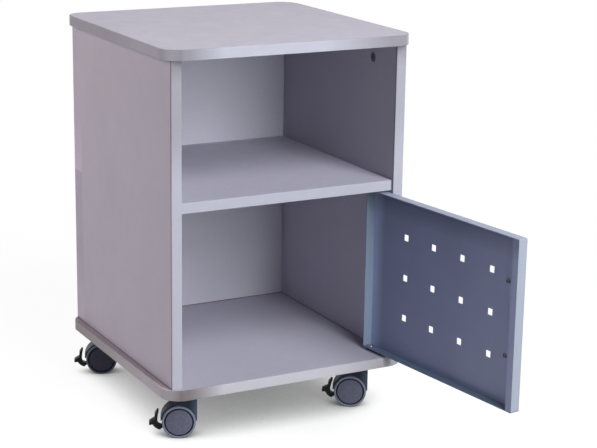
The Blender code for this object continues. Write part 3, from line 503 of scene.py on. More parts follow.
def board_material():
    """Smooth melamine with a fine pearly grain, and the tones listed above, among them painted light and
    shade.
    """
    s = Shader("board", (0.47, 0.45, 0.53), 0.5, Specular_IOR_Level=0.3)
    cloud = s.shades(9.0, 0.02)
    grain = s.shades(900.0, 0.05, under=cloud)
    x, y, z = s.axes()
    upright = s.both(s.spread(z, *BASE_LINE), s.spread(z, *TOP_LINE))
    seam = s.both(s.spread(y, *SEAM_LINE), upright)
    foot = s.both(s.spread(z, *FOOT_LINE), upright)
    base_top = s.both(s.spread(z, *LEDGE_LEVELS[0]), s.spread(z, *LEDGE_LEVELS[1]))
    ledge = s.both(s.spread(x, *LEDGE_LINE), base_top)
    inner = s.both(s.spread(x, *INNER_FROM), s.spread(x, *INNER_TO))
    # Painted shade on the right panel's inner face in the upper bay
    coat = s.dim(grain, s.where(s.both(inner, upright), s.spread(z, *INNER_UPPER_SHADE)))
    # Painted light and shade on the back: lighter low in each bay, darker higher up
    back = s.both(s.spread(y, *BACK_LINE), upright)
    upper = s.where(s.spread(z, *BAY_LINE), s.spread(z, *BACK_UPPER_PAINTED_LIGHT))
    lower = s.where(s.spread(z, *reversed(BAY_LINE)), s.spread(z, *BACK_LOWER_PAINTED_LIGHT))
    coat = s.dim(coat, s.where(back, s.both(upper, lower)))
    coat = s.tint(s.tint(coat, SEAM_COLOR, seam), FOOT_COLOR, foot)
    # Painted shade on the base's narrow ledge beside the left panel
    s.set_color(s.tint(coat, LEDGE_SHADE_COLOR, ledge))
    return s.finished((40.0, 4.0, 0.42, 0.56), (1400.0, 2.0, 0.03 * MM))


# Painted shade on the lying bands: ranges of X, Y or Z, and the share of the colour that the painted shade
# leaves
BAND_LEFT_END = (-112 * MM, -168 * MM)
BAND_LEFT_CORNER = (-198 * MM, -180 * MM)
BAND_LEFT_SHARE = 0.52
BAND_BASE_SHARE = 0.62
BAND_PAINTED_SHADE = (0.035, 0.014, 0.0)
BAND_RIGHT_END = (50 * MM, 155 * MM)
BAND_RIGHT_CORNER = (198 * MM, 184 * MM)
BAND_RIGHT_SHARE = 0.56
BAND_FRONT_FACE = (-178 * MM, -186 * MM)
BAND_LEFT_FACE = (-196 * MM, -199 * MM)
BAND_LEFT_FACE_END = (-110 * MM, 20 * MM)
BAND_LEFT_FACE_SHARE = 0.76
BAND_BASE_END = (-10 * MM, 170 * MM)
BAND_BASE_END_SHARE = 0.68
BAND_BELOW = (300 * MM, 299 * MM)
# Painted shade on the upright bands: ranges of Z and the shares at their two ends
BAND_UPPER = (400 * MM, 470 * MM, 0.94, 0.78)
BAND_HEAD = (535 * MM, 567 * MM, 1.0, 0.66)
BAND_LEFT_SIDE = (0.0, -100 * MM)
BAND_LEFT_UPPER = (390 * MM, 450 * MM)
BAND_LEFT_UPPER_SHARE = 0.87
# The base's band is a little warmer
BAND_BASE_LINE = (86.3 * MM, 86.2 * MM)
BAND_BASE_COLOR = (0.435, 0.415, 0.46)


def band_painted_shade_level(s):
    """Share of the colour left by the painted shade: less at the ends of the front, along the left and high
    on the uprights.
    """
    x, y, z = s.axes()
    below = s.spread(z, *BAND_BELOW)
    above = s.spread(z, *reversed(BAND_BELOW))
    upright = s.both(s.spread(z, *BASE_LINE), s.spread(z, *TOP_LINE))
    front = s.both(s.spread(y, *BAND_FRONT_FACE), s.spread(upright, 0.0, 1.0, 1.0, 0.0))
    left_face = s.spread(x, *BAND_LEFT_FACE)
    left = s.spread(x, *BAND_LEFT_SIDE)
    left_end = s.both(front, s.both(s.spread(x, *BAND_LEFT_END), s.spread(x, *BAND_LEFT_CORNER)))
    right_end = s.both(front, s.both(s.spread(x, *BAND_RIGHT_END), s.spread(x, *BAND_RIGHT_CORNER)))
    level = s.both(s.spread(z, *BAND_UPPER), s.spread(z, *BAND_HEAD))
    level = s.where(upright, level)
    for mask, share in (
        (left_end, BAND_LEFT_SHARE),
        (s.both(left_end, below), BAND_BASE_SHARE),
        (s.both(right_end, above), BAND_RIGHT_SHARE),
        (s.both(left_face, s.spread(y, *BAND_LEFT_FACE_END)), BAND_LEFT_FACE_SHARE),
        (s.both(s.both(left_face, below), s.spread(y, *BAND_BASE_END)), BAND_BASE_END_SHARE),
        (s.both(s.both(upright, left), s.spread(z, *BAND_LEFT_UPPER)), BAND_LEFT_UPPER_SHARE),
    ):
        level = s.both(level, s.spread(mask, 0.0, 1.0, 1.0, share))
    return level


def band_material():
    """Satin plastic edge band with faint drawn lines along it, and painted shade at the ends of the front,
    along the left and high on the uprights.
    """
    s = Shader("edge_band", (0.39, 0.386, 0.455), 0.38, Specular_IOR_Level=0.2)
    lines = s.stretched((1.0, 1.0, 9.0))
    grain = s.shades(160.0, 0.025, place=lines)
    grain = s.tint(grain, BAND_BASE_COLOR, s.spread(s.axes()[2], *BAND_BASE_LINE))
    # Painted shade: the band darkens by the shares above
    s.set_color(s.tint(grain, BAND_PAINTED_SHADE, s.spread(band_painted_shade_level(s), 0.0, 1.0, 1.0, 0.0)))
    return s.finished((60.0, 3.0, 0.3, 0.42), (1500.0, 2.0, 0.02 * MM))


# Painted light and shade on the door, along the closed door's X, Y and Z; its outer face is at Y = -8 mm
DOOR_FACE_LINE = (-7.0 * MM, -7.7 * MM)
DOOR_RIM_LINE = (-331.6 * MM, -332.2 * MM)
DOOR_LIT_COLOR = (0.27, 0.295, 0.36)
DOOR_FOOT_LINE = (92.2 * MM, 91.6 * MM)
DOOR_FOOT_SHADE_COLOR = (0.125, 0.17, 0.25)
DOOR_SHEET_SHADE = (-10 * MM, -110 * MM, 0.85, 1.0)
DOOR_HEAD_LINE = (341.6 * MM, 342.4 * MM)
DOOR_HEAD_LIT_COLOR = (0.30, 0.335, 0.445)
DOOR_HINGE_LINE = (7.6 * MM, 8.2 * MM)
DOOR_HINGE_LIT_COLOR = (0.28, 0.355, 0.475)
DOOR_BEND_LINE = (-18 * MM, 3 * MM, 0.0, 0.75)
DOOR_BEND_HIGHLIGHT_COLOR = (0.40, 0.47, 0.70)
DOOR_HINGE_SHADE = (170 * MM, 300 * MM, 0.92, 0.74)
DOOR_TOP_SHADE = (306 * MM, 334 * MM, 1.0, 0.62)


def door_material():
    """Satin powder coat with a fine orange peel; painted light makes it paler outside, on its flanges and at
    the hinge's bend, and painted shade makes it darker and bluer inside.
    """
    s = Shader("door_paint", (0.225, 0.262, 0.43), 0.4)
    coat = s.shades(12.0, 0.04)
    x, y, z = s.axes()
    # Painted shade: the sheet is darker towards the hinge, where the cabinet shades it
    coat = s.dim(coat, s.spread(x, *DOOR_SHEET_SHADE))
    # Painted highlight on the bend by the hinge
    coat = s.tint(coat, DOOR_BEND_HIGHLIGHT_COLOR, s.spread(x, *DOOR_BEND_LINE))
    # Painted light on the hinge flange, which faces the front, then painted shade along it
    hinge = s.spread(x, *DOOR_HINGE_LINE)
    coat = s.dim(s.tint(coat, DOOR_HINGE_LIT_COLOR, hinge), s.where(hinge, s.spread(z, *DOOR_HINGE_SHADE)))
    coat = s.dim(coat, s.spread(z, *DOOR_TOP_SHADE))
    # Painted light: the free flange's rim and the outer face are paler, lit copies of the paint
    coat = s.tint(coat, DOOR_LIT_COLOR, s.spread(x, *DOOR_RIM_LINE))
    coat = s.tint(coat, DOOR_LIT_COLOR, s.spread(y, *DOOR_FACE_LINE))
    # Painted light: the top flange's upper face is paler
    coat = s.tint(coat, DOOR_HEAD_LIT_COLOR, s.spread(z, *DOOR_HEAD_LINE))
    # Painted shade on the inside of the bottom flange, under the lip
    s.set_color(s.tint(coat, DOOR_FOOT_SHADE_COLOR, s.spread(z, *DOOR_FOOT_LINE)))
    return s.finished((55.0, 3.0, 0.34, 0.46), (700.0, 1.5, 0.05 * MM))


def plain_material(name, color, roughness, metallic, grain, amount, depth, specular):
    s = Shader(name, color, roughness, metallic, Specular_IOR_Level=specular)
    s.set_color(s.shades(grain, amount))
    return s.finished((grain / 8, 3.0, roughness * 0.85, roughness * 1.15), (grain * 1.5, 2.0, depth))


# Painted light: the hood's side is lighter towards its back wall. Painted shade: the hub has a dark ring in
# its groove
HOOD_COLOR = (0.012, 0.016, 0.03)
HOOD_BACK_LIT_COLOR = (0.055, 0.07, 0.11)
HOOD_BACK_LINE = (-15 * MM, -26 * MM)
HUB_COLOR = (0.108, 0.108, 0.153)
HUB_GROOVE_SHADE_COLOR = (0.01, 0.012, 0.03)
HUB_RING_LINE = (19.5 * MM, 19.8 * MM)


def hood_material():
    s = Shader("hood_plastic", HOOD_COLOR, 0.42, Specular_IOR_Level=0.15)
    # Painted light towards the hood's back wall
    coat = s.tint(s.shades(600.0, 0.08), HOOD_BACK_LIT_COLOR, s.spread(s.axes()[0], *HOOD_BACK_LINE))
    s.set_color(coat)
    return s.finished((75.0, 3.0, 0.36, 0.48), (900.0, 2.0, 0.03 * MM))


def hub_material():
    s = Shader("hub_plastic", HUB_COLOR, 0.45, Specular_IOR_Level=0.1)
    coat = s.shades(260.0, 0.1)
    # Painted shade: a dark ring in the hub's groove
    s.set_color(s.tint(coat, HUB_GROOVE_SHADE_COLOR, s.spread(s.radius(), *HUB_RING_LINE)))
    return s.finished((40.0, 3.0, 0.38, 0.52), (400.0, 2.0, 0.03 * MM))


# Plain finishes: colour, roughness, metallic, scale and share of the grain, depth of the bump, specular level
PLAIN = {
    "dowel_wood": ((0.60, 0.43, 0.26), 0.65, 0.0, 300.0, 0.15, 0.03 * MM, 0.5),
    "zinc": ((0.16, 0.16, 0.18), 0.45, 0.9, 500.0, 0.15, 0.03 * MM, 0.5),
    "bush_plastic": ((0.03, 0.03, 0.035), 0.45, 0.0, 600.0, 0.08, 0.03 * MM, 0.5),
    "screw_steel": ((0.10, 0.10, 0.12), 0.3, 1.0, 500.0, 0.1, 0.01 * MM, 0.5),
    "bright_steel": ((0.60, 0.60, 0.62), 0.25, 1.0, 800.0, 0.06, 0.01 * MM, 0.5),
    "handle_metal": ((0.58, 0.59, 0.62), 0.3, 1.0, 500.0, 0.05, 0.01 * MM, 0.5),
    "lever_plastic": ((0.006, 0.006, 0.007), 0.45, 0.0, 400.0, 0.3, 0.03 * MM, 0.15),
    "tyre_grey": ((0.15, 0.17, 0.23), 0.5, 0.0, 600.0, 0.08, 0.03 * MM, 0.3),
}


def make_materials():
    for name, values in PLAIN.items():
        MATERIALS[name] = plain_material(name, *values)
    MATERIALS["board"] = board_material()
    MATERIALS["edge_band"] = band_material()
    MATERIALS["door_paint"] = door_material()
    MATERIALS["hood_plastic"] = hood_material()
    MATERIALS["hub_plastic"] = hub_material()


# Boards


def rounded_ring(bm, low, high, inset, z):
    """A ring of vertices round a board's outline with rounded corners."""
    radius = CORNER_RADIUS - inset
    left, right = low.x + inset, high.x - inset
    front, back = low.y + inset, high.y - inset
    corners = ((right, back), (left, back), (left, front), (right, front))
    outline = filleted([(x, y, radius) for x, y in corners], steps=CORNER_STEPS)
    return [bm.verts.new((x, y, z)) for x, y in outline]


def rounded_board_mesh(name, low, high, inset):
    bm = bmesh.new()
    width, height = high.x - low.x, high.z - low.z
    corners = [(width, 0, 0), (0, 0, BOARD_EDGE), (0, height, BOARD_EDGE), (width, height, 0)]
    section = filleted(corners, closed=False)[1:-1]
    rings = [rounded_ring(bm, low, high, inset + a, low.z + b) for a, b in section]
    skin_rings(bm, rings, close_rings=False)
    bm.faces.new(rings[0])
    bm.faces.new(rings[-1])
    return finish_mesh(name, bm)


def rounded_band_mesh(name, low, high):
    bm = bmesh.new()
    height = high.z - low.z
    corners = [(0, 0, BAND_EDGE), (0, height, BAND_EDGE), (BAND, height, 0), (BAND, 0, 0)]
    rings = [rounded_ring(bm, low, high, a, low.z + b) for a, b in filleted(corners)]
    skin_rings(bm, rings, close_rings=True)
    return finish_mesh(name, bm)


def make_rounded_board(level):
    """The top or the base: a board and the band round it."""
    low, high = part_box(level + "_edge_band")
    board = rounded_board_mesh(level + "_board", low, high, BAND + GLUE_GAP)
    add_piece(level + "_board", board, "board", "root", level + "_panel")
    band = rounded_band_mesh(level + "_band", low, high)
    add_piece(level + "_band", band, "edge_band", "root", level + "_edge_band")


def cam_places(side):
    """Where each cam's face lies on a side panel's inner face."""
    inner = 1 if side == "left" else 0
    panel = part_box(side + "_side_panel")
    places = {}
    for end in ("front", "rear"):
        low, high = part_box("cam_fitting_%s_%s" % (end, side))
        middle = (low + high) / 2
        x = panel[inner].x
        places[end] = (x, middle.y, low.z + CAM_RADIUS)
    return places


def cam_frame(side, place):
    """Cam's X axis points out of the board, into the cabinet."""
    turn = 0 if side == "left" else math.pi
    return move(*place) @ Matrix.Rotation(turn, 4, "Z")


def make_side(side):
    low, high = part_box(side + "_side_panel")
    panel = box_mesh(side + "_side", low, high, BOARD_EDGE)
    bore = cylinder_mesh("cam_bore", CAM_RADIUS + SEAT_GAP, -CAM_DEPTH, CAM_DEPTH, "X")
    tools = [(bore, cam_frame(side, place)) for place in cam_places(side).values()]
    panel = combine(panel, tools)
    add_piece(side + "_side", panel, "board", "root", side + "_side_panel")
    make_front_band(side + "_edge_band", side + "_side_band")


def make_front_band(node, name):
    """A band on a board's front edge; its front edges are rounded."""
    low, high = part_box(node)
    upright = high.z - low.z > high.x - low.x

    def front_edge(edge):
        span = edge_span(edge)
        on_front = all(vert.co.y < (low.y + high.y) / 2 for vert in edge.verts)
        return on_front and (span.z > span.x) == upright

    band = box_mesh(name, low, high, BAND_EDGE, front_edge, FILLET_STEPS)
    add_piece(name, band, "edge_band", "root", node)


def make_board(node, name):
    low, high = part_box(node)
    add_piece(name, box_mesh(name, low, high, BOARD_EDGE), "board", "root", node)


def make_cams():
    for side in ("left", "right"):
        for end, place in cam_places(side).items():
            floor, face = -CAM_DEPTH, -SEAT_GAP
            rim = [(CAM_RADIUS, floor, CAM_EDGE), (CAM_RADIUS, face, CAM_EDGE)]
            profile = filleted([(0, floor, 0)] + rim + [(0, face, 0)], closed=False)
            name = "cam_%s_%s" % (end, side)
            cam = turned_mesh(name, profile, "X")
            cross = upright_mesh("cam_cross", cross_outline(CAM_SLOT_LENGTH, CAM_SLOT_WIDTH), CAM_SLOT_DEPTH)
            cam = combine(cam, [(cross, Matrix.Rotation(math.pi / 2, 4, "Z"))])
            node = "cam_fitting_%s_%s" % (end, side)
            add_piece(name, cam, "zinc", "root", node, cam_frame(side, place))


def dress_dowels():
    """The dowels stay as they are inside the boards."""
    for name, node in frame["nodes"].items():
        if name.startswith("shelf_dowel"):
            node.data.materials.clear()
            node.data.materials.append(MATERIALS["dowel_wood"])


# Door, in the frame of its closed place: it runs to -X from the pivot, its outer face to -Y


def door_frame():
    hinge = joint("door_hinge")
    open_angle = math.radians(-hinge["range_deg"][0])
    return move(hinge["pos_m"][0], hinge["pos_m"][1], 0) @ Matrix.Rotation(open_angle, 4, "Z")


def box_in(node, place):
    """Lowest and highest corner of a CAD node in a placement's own axes."""
    back = place.inverted()
    points = [back @ vert.co for vert in frame["nodes"][node].data.vertices]
    low = Vector(min(p[i] for p in points) for i in range(3))
    high = Vector(max(p[i] for p in points) for i in range(3))
    return low, high


def door_mesh(low, high):
    def bent_edge(edge):
        on_outer_face = all(abs(vert.co.y - low.y) < SAME for vert in edge.verts)
        return on_outer_face or edge_span(edge).y > (high.y - low.y) / 2

    def inner_bend(edge):
        on_sheet = all(abs(vert.co.y - low.y - DOOR_SHEET) < SAME for vert in edge.verts)
        return on_sheet or edge_span(edge).y > (high.y - low.y) / 2

    pan = box_mesh("door_pan", low, high, DOOR_BEND_RADIUS, bent_edge, FILLET_STEPS)
    sheet = DOOR_SHEET
    inside_low = (low.x + DOOR_LIP, low.y + sheet, low.z + sheet)
    inside_high = (high.x - sheet, high.y + (high.y - low.y), high.z - sheet)
    lip_low = (low.x + sheet, low.y + sheet, low.z + sheet)
    lip_high = (low.x + 2 * DOOR_LIP, high.y - sheet, high.z - sheet)
    inside = box_mesh("door_inside", inside_low, inside_high, DOOR_INNER_RADIUS, inner_bend)
    behind_lip = box_mesh("door_behind_lip", lip_low, lip_high, DOOR_INNER_RADIUS)
    tools = [(inside, Matrix()), (behind_lip, Matrix())]
    middle_x = (low.x + high.x) / 2 - PERFORATION_OFF_MIDDLE
    middle_z = (low.z + high.z) / 2 + FITTINGS_ABOVE_MIDDLE
    half = PERFORATION / 2
    for column in range(PERFORATION_COLUMNS):
        for row in range(PERFORATION_ROWS):
            x = middle_x + (column - (PERFORATION_COLUMNS - 1) / 2) * PERFORATION_PITCH_ACROSS
            z = middle_z + (row - (PERFORATION_ROWS - 1) / 2) * PERFORATION_PITCH_UP
            hole = box_mesh(
                "perforation", (-half, -2 * sheet, -half), (half, 2 * sheet, half), PERFORATION_CORNER,
                lambda edge: edge_span(edge).y > sheet,
            )
            tools.append((hole, move(x, low.y, z)))
    pin_hole = cylinder_mesh("pin_hole", PIN_RADIUS + SEAT_GAP, -2 * sheet, 2 * sheet)
    tools += [(pin_hole, move(z=low.z)), (pin_hole.copy(), move(z=high.z))]
    screw_hole = cylinder_mesh("screw_hole", SCREW_RADIUS + SEAT_GAP, -2 * sheet, 2 * sheet, "Y")
    for sign in (-1, 1):
        place = move(low.x + HANDLE_FROM_EDGE, low.y, middle_z + sign * HANDLE_PITCH / 2)
        tools.append((screw_hole.copy(), place))
    return combine(pan, tools)


def make_door(place):
    low, high = box_in("door_panel", place)
    door = door_mesh(low, high)
    add_piece("door_pan", door, "door_paint", "door", "door_panel", place)
    make_handle(place, low, high)
    make_hinge_pins(place, low, high)


def bar_mesh(name, path, radius):
    """A round bar swept along (out, up) points, its ends closed flat; out is -Y and up is Z."""
    bm = bmesh.new()
    rings = []
    for i, (out, up) in enumerate(path):
        before, after = path[max(i - 1, 0)], path[min(i + 1, len(path) - 1)]
        along = Vector((after[0] - before[0], after[1] - before[1])).normalized()
        if i in (0, len(path) - 1):
            along = Vector((1.0 if i == 0 else -1.0, 0.0))
        side = Vector((-along.y, along.x))
        ring = []
        for k in range(BAR_STEPS):
            angle = 2 * math.pi * k / BAR_STEPS
            offset = radius * math.cos(angle)
            point = (radius * math.sin(angle), -(out + side.x * offset), up + side.y * offset)
            ring.append(bm.verts.new(point))
        rings.append(ring)
    skin_rings(bm, rings, close_rings=False)
    for ring in (rings[0], rings[-1]):
        bm.faces.new(ring)
    return finish_mesh(name, bm)


def screw_mesh():
    seat = DOOR_SHEET + SEAT_GAP
    top = seat + SCREW_HEAD_HEIGHT
    profile = filleted(
        [
            (0, -SCREW_GRIP, 0),
            (SCREW_RADIUS, -SCREW_GRIP, 0.5 * MM),
            (SCREW_RADIUS, seat, 0),
            (SCREW_HEAD_RADIUS, seat, 0.15 * MM),
            (SCREW_HEAD_RADIUS, seat + 0.4 * MM, 0.3 * MM),
            (SCREW_HEAD_RADIUS * SCREW_FLAT_SHARE, top, SCREW_HEAD_HEIGHT * SCREW_CROWN_SHARE),
            (0, top, 0),
        ],
        closed=False,
    )
    screw = turned_mesh("handle_screw", profile, "Y")
    cross = upright_mesh("screw_cross", cross_outline(SCREW_SLOT_LENGTH, SCREW_SLOT_WIDTH), SCREW_SLOT_DEPTH)
    return combine(screw, [(cross, move(y=top))])


def make_handle(place, low, high):
    half, bend = HANDLE_PITCH / 2, HANDLE_BEND_RADIUS
    bend_out = HANDLE_REACH - bend
    lower = arc_points((bend_out, bend - half), bend, (270, 360), BEND_STEPS)
    upper = arc_points((bend_out, half - bend), bend, (0, 90), BEND_STEPS)
    path = [(0, -half)] + lower + upper + [(0, half)]
    middle_z = (low.z + high.z) / 2 + FITTINGS_ABOVE_MIDDLE
    x = low.x + HANDLE_FROM_EDGE
    handle = bar_mesh("handle_bar", path, HANDLE_BAR_RADIUS)
    foot = place @ move(x, low.y - SEAT_GAP, middle_z)
    add_piece("handle_bar", handle, "handle_metal", "door", "door_handle", foot)
    for end, sign in (("lower", -1), ("upper", 1)):
        name = "screw_" + end
        spot = place @ move(x, low.y, middle_z + sign * half)
        add_piece(name, screw_mesh(), "screw_steel", "door", "handle_" + name, spot)


def make_hinge_pins(place, low, high):
    inside = DOOR_SHEET + SEAT_GAP
    for end, flange_z, sign in (("lower", low.z, 1), ("upper", high.z, -1)):
        node = "hinge_pin_" + end
        pin_low, pin_high = box_in(node, place)
        far = (pin_low.z if sign > 0 else pin_high.z) - flange_z
        profile = filleted(
            [
                (0, sign * far, 0),
                (PIN_RADIUS, sign * far, 0.6 * MM),
                (PIN_RADIUS, inside, 0),
                (PIN_HEAD_RADIUS, inside, 0.2 * MM),
                (PIN_HEAD_RADIUS, inside + PIN_HEAD_HEIGHT, 0.9 * MM),
                (0, inside + PIN_HEAD_HEIGHT, 0),
            ],
            closed=False,
        )
        pin = turned_mesh("pin_" + end, [(r, sign * along) for r, along in profile])
        spot = place @ move(z=flange_z)
        add_piece("pin_" + end, pin, "bright_steel", "door", node, spot)


def make_bushes(place):
    for end in ("lower", "upper"):
        node = "hinge_bush_" + end
        low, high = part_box(node)
        middle = (low + high) / 2
        if end == "lower":
            collar_low, collar_high = high.z - LOWER_COLLAR_HEIGHT, high.z
        else:
            collar_low, collar_high = low.z, low.z + UPPER_COLLAR_HEIGHT
        bore = PIN_RADIUS + SEAT_GAP
        corners = [
            (bore, collar_low, 0),
            (BUSH_COLLAR_RADIUS, collar_low, 0.3 * MM),
            (BUSH_COLLAR_RADIUS, collar_high, 0.3 * MM),
            (bore, collar_high, 0.2 * MM),
        ]
        bush = turned_mesh("bush_" + end, filleted(corners))
        spot = move(middle.x, middle.y, 0)
        add_piece("bush_" + end, bush, "bush_plastic", "root", node, spot)


# Castors


def stem_mesh(name):
    base_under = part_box("base_edge_band")[0].z
    collar_top = base_under - SEAT_GAP
    race_top = collar_top - COLLAR_HEIGHT
    hood_top = WHEEL_RADIUS + HOOD_HEIGHT
    profile = filleted(
        [
            (0, base_under + STEM_IN_BASE, 0),
            (STEM_RADIUS, base_under + STEM_IN_BASE, 1 * MM),
            (STEM_RADIUS, collar_top, 0),
            (COLLAR_RADIUS, collar_top, 0.4 * MM),
            (COLLAR_RADIUS, race_top, 1 * MM),
            (RACE_RADIUS, race_top - 0.4 * MM, 0.4 * MM),
            (RACE_RADIUS, hood_top + RUNNING_GAP, 1.2 * MM),
            (KING_RADIUS, hood_top + RUNNING_GAP, 0),
            (KING_RADIUS, hood_top - KING_DEPTH, 0.5 * MM),
            (0, hood_top - KING_DEPTH, 0),
        ],
        closed=False,
    )
    return turned_mesh(name, profile)


def sharp_corners(points):
    return [(out, up, 0) for out, up in points]


def hood_outline():
    cavity = WHEEL_RADIUS + HOOD_WHEEL_GAP
    fender = arc_points((0, 0), cavity + HOOD_SHELL, FENDER_DEG, 3 * BEND_STEPS)
    corners = [(-HOOD_BACK, HOOD_BACK_FOOT, 1 * MM), (-HOOD_BACK, HOOD_HEIGHT, 1 * MM)]
    corners += [(HOOD_TOP_FRONT, HOOD_HEIGHT, 3 * MM)]
    corners += sharp_corners(fender)
    corners += [(cavity * math.cos(math.radians(FENDER_DEG[1])), fender[-1][1], 0)]
    corners += sharp_corners(arc_points(LEVER_PIVOT, LEVER_CHEEK_BOSS, CHEEK_DEG, BEND_STEPS))
    corners += sharp_corners(arc_points((0, 0), AXLE_BOSS_RADIUS, AXLE_BOSS_DEG, BEND_STEPS))
    corners += [(-WHEEL_RADIUS, -HOOD_BACK_FOOT / 2, 1 * MM)]
    return filleted(corners)


def hood_mesh(name):
    """Hood with both wheel spaces, axle hole, kingpin bore and the brake lever's slot."""
    cavity = WHEEL_RADIUS + HOOD_WHEEL_GAP
    shell = upright_mesh(name, hood_outline(), HOOD_HALF_WIDTH, HOOD_EDGE)
    past_side = 2 * HOOD_HALF_WIDTH
    corners = [(0, WEB_HALF, 0), (cavity, WEB_HALF, 1.2 * MM), (cavity, past_side, 0), (0, past_side, 0)]
    space = filleted(corners, closed=False)
    far_turn = Matrix.Rotation(math.pi, 4, "Z")
    slot_half = LEVER_TAIL_HALF + SEAT_GAP
    slot_low = (LEVER_PIVOT[0] - LEVER_PIVOT_BOSS - RUNNING_GAP, -slot_half, -WHEEL_RADIUS)
    slot_high = (2 * WHEEL_RADIUS, slot_half, LEVER_PIVOT[1] + LEVER_PIVOT_BOSS + RUNNING_GAP)
    web = 2 * WEB_HALF
    axle_hole = cylinder_mesh("axle_hole", AXLE_RADIUS + SEAT_GAP, -web, web, "Y")
    king_end = HOOD_HEIGHT - KING_DEPTH - SEAT_GAP
    king_bore = cylinder_mesh("king_bore", KING_RADIUS + SEAT_GAP, king_end, 2 * HOOD_HEIGHT)
    trunnion_hole = cylinder_mesh("trunnion_hole", LEVER_TRUNNION_RADIUS + SEAT_GAP, -web, web, "Y")
    tools = [
        (turned_mesh("wheel_space", space, "Y", WHEEL_STEPS), Matrix()),
        (turned_mesh("wheel_space", space, "Y", WHEEL_STEPS), far_turn),
        (axle_hole, Matrix()),
        (king_bore, move(x=-TRAIL)),
        (box_mesh("lever_slot", slot_low, slot_high), Matrix()),
        (trunnion_hole, move(LEVER_PIVOT[0], 0, LEVER_PIVOT[1])),
    ]
    return combine(shell, tools)


def lever_outline():
    """Side view of the lever outside the hood: prong, pedal and hooked root, as (out, up, radius) in mm."""
    corners = (
        (27.5, -7.2, 0.4), (30.2, -6.2, 1.2), (31.2, -2.7, 2), (30.6, 3, 6), (28.6, 11.2, 8), (26.6, 16.2, 1),
        (29.4, 16.2, 1.1), (33.6, 11.2, 5), (34.8, 4, 1.2), (43.2, 0, 1), (44.2, -4.6, 1.2), (38.7, -4.1, 2),
        (35.8, -9.2, 6), (31.1, -12.8, 2), (27.5, -13.8, 0.6),
    )
    return filleted([(out * MM, up * MM, radius * MM) for out, up, radius in corners])


def lever_mesh(name):
    body = upright_mesh(name, lever_outline(), LEVER_PEDAL_HALF, LEVER_EDGE)
    boss = arc_points(LEVER_PIVOT, LEVER_PIVOT_BOSS, (90, 270), 2 * BEND_STEPS)
    tail_outline = boss + [(THROAT_OUT[1], THROAT_UP[0]), (THROAT_OUT[1], THROAT_UP[1])]
    tail_outline += [(TAIL_INNER_OUT, THROAT_UP[1])]
    throat_low = (THROAT_OUT[0], -LEVER_THROAT_HALF, THROAT_UP[0])
    throat_high = (THROAT_OUT[1], LEVER_THROAT_HALF, THROAT_UP[1])
    half = LEVER_TRUNNION_HALF
    trunnion = cylinder_mesh("trunnion", LEVER_TRUNNION_RADIUS, -half, half, "Y")
    mesh = combine(body, [
        (box_mesh("lever_throat", throat_low, throat_high, LEVER_EDGE), Matrix()),
        (upright_mesh("lever_tail", tail_outline, LEVER_TAIL_HALF), Matrix()),
        (trunnion, move(LEVER_PIVOT[0], 0, LEVER_PIVOT[1])),
    ], "UNION")
    mesh.transform(move(-LEVER_PIVOT[0], 0, -LEVER_PIVOT[1]))
    return mesh


def tyre_mesh(name):
    corners = [
        (TREAD_INNER_RADIUS, WHEEL_INNER, 0),
        (WHEEL_RADIUS, WHEEL_INNER, 0.8 * MM),
        (WHEEL_RADIUS, WHEEL_OUTER, TYRE_SHOULDER),
        (TREAD_INNER_RADIUS, WHEEL_OUTER, 0.5 * MM),
    ]
    return turned_mesh(name, filleted(corners), "Y", WHEEL_STEPS)


def hub_mesh(name):
    bore = AXLE_RADIUS + SEAT_GAP
    rim = TREAD_INNER_RADIUS - SEAT_GAP
    axle_end = WHEEL_OUTER - HUB_FACE
    groove = WHEEL_OUTER - HUB_GROOVE_DEPTH
    corners = [
        (0, axle_end, 0),
        (bore, axle_end, 0),
        (bore, WHEEL_INNER, 0.3 * MM),
        (rim, WHEEL_INNER, 0.5 * MM),
        (rim, groove, 0.3 * MM),
        (HUB_DISC_RADIUS, groove, 0.3 * MM),
        (HUB_DISC_RADIUS, WHEEL_OUTER - 0.2 * MM, 0.8 * MM),
        (HUB_DISC_RADIUS / 2, WHEEL_OUTER + HUB_CROWN, 8 * MM),
        (0, WHEEL_OUTER + HUB_CROWN, 0),
    ]
    return turned_mesh(name, filleted(corners, closed=False), "Y", WHEEL_STEPS)


def axle_mesh(name):
    end = WHEEL_OUTER - HUB_FACE - SEAT_GAP
    corners = [(0, -end, 0), (AXLE_RADIUS, -end, 0.5 * MM), (AXLE_RADIUS, end, 0.5 * MM), (0, end, 0)]
    return turned_mesh(name, filleted(corners, closed=False), "Y")


def make_castor(corner):
    swivel, brake = "swivel_" + corner, "brake_" + corner
    stem_place = joint("castor_swivel_" + corner)["pos_m"]
    spin = joint("wheel_%s_near_spin" % corner)
    centre = frame_from(spin["pos_m"], spin["axis"])
    press = joint(brake + "_press")
    pressed = Matrix.Rotation(math.radians(-press["range_deg"][0]), 4, "Y")
    lever_place = centre @ move(LEVER_PIVOT[0], 0, LEVER_PIVOT[1]) @ pressed
    for kind, make_mesh, finish, body, node, place in (
        ("stem_", stem_mesh, "bright_steel", "root", "castor_stem_", move(*stem_place[:2])),
        ("hood_", hood_mesh, "hood_plastic", swivel, "castor_hood_", centre),
        ("axle_", axle_mesh, "bright_steel", swivel, "castor_axle_", centre),
        ("lever_", lever_mesh, "lever_plastic", brake, "brake_lever_", lever_place),
    ):
        name = kind + corner
        add_piece(name, make_mesh(name), finish, body, node + corner, place)
    for side, turn in (("near", 0), ("far", math.pi)):
        body = "wheel_%s_%s" % (corner, side)
        place = centre @ Matrix.Rotation(turn, 4, "Z")
        tyre, hub = "tyre_%s_%s" % (corner, side), "hub_%s_%s" % (corner, side)
        add_piece(tyre, tyre_mesh(tyre), "tyre_grey", body, "castor_" + tyre, place)
        add_piece(hub, hub_mesh(hub), "hub_plastic", body, "castor_" + hub, place)


# Studio


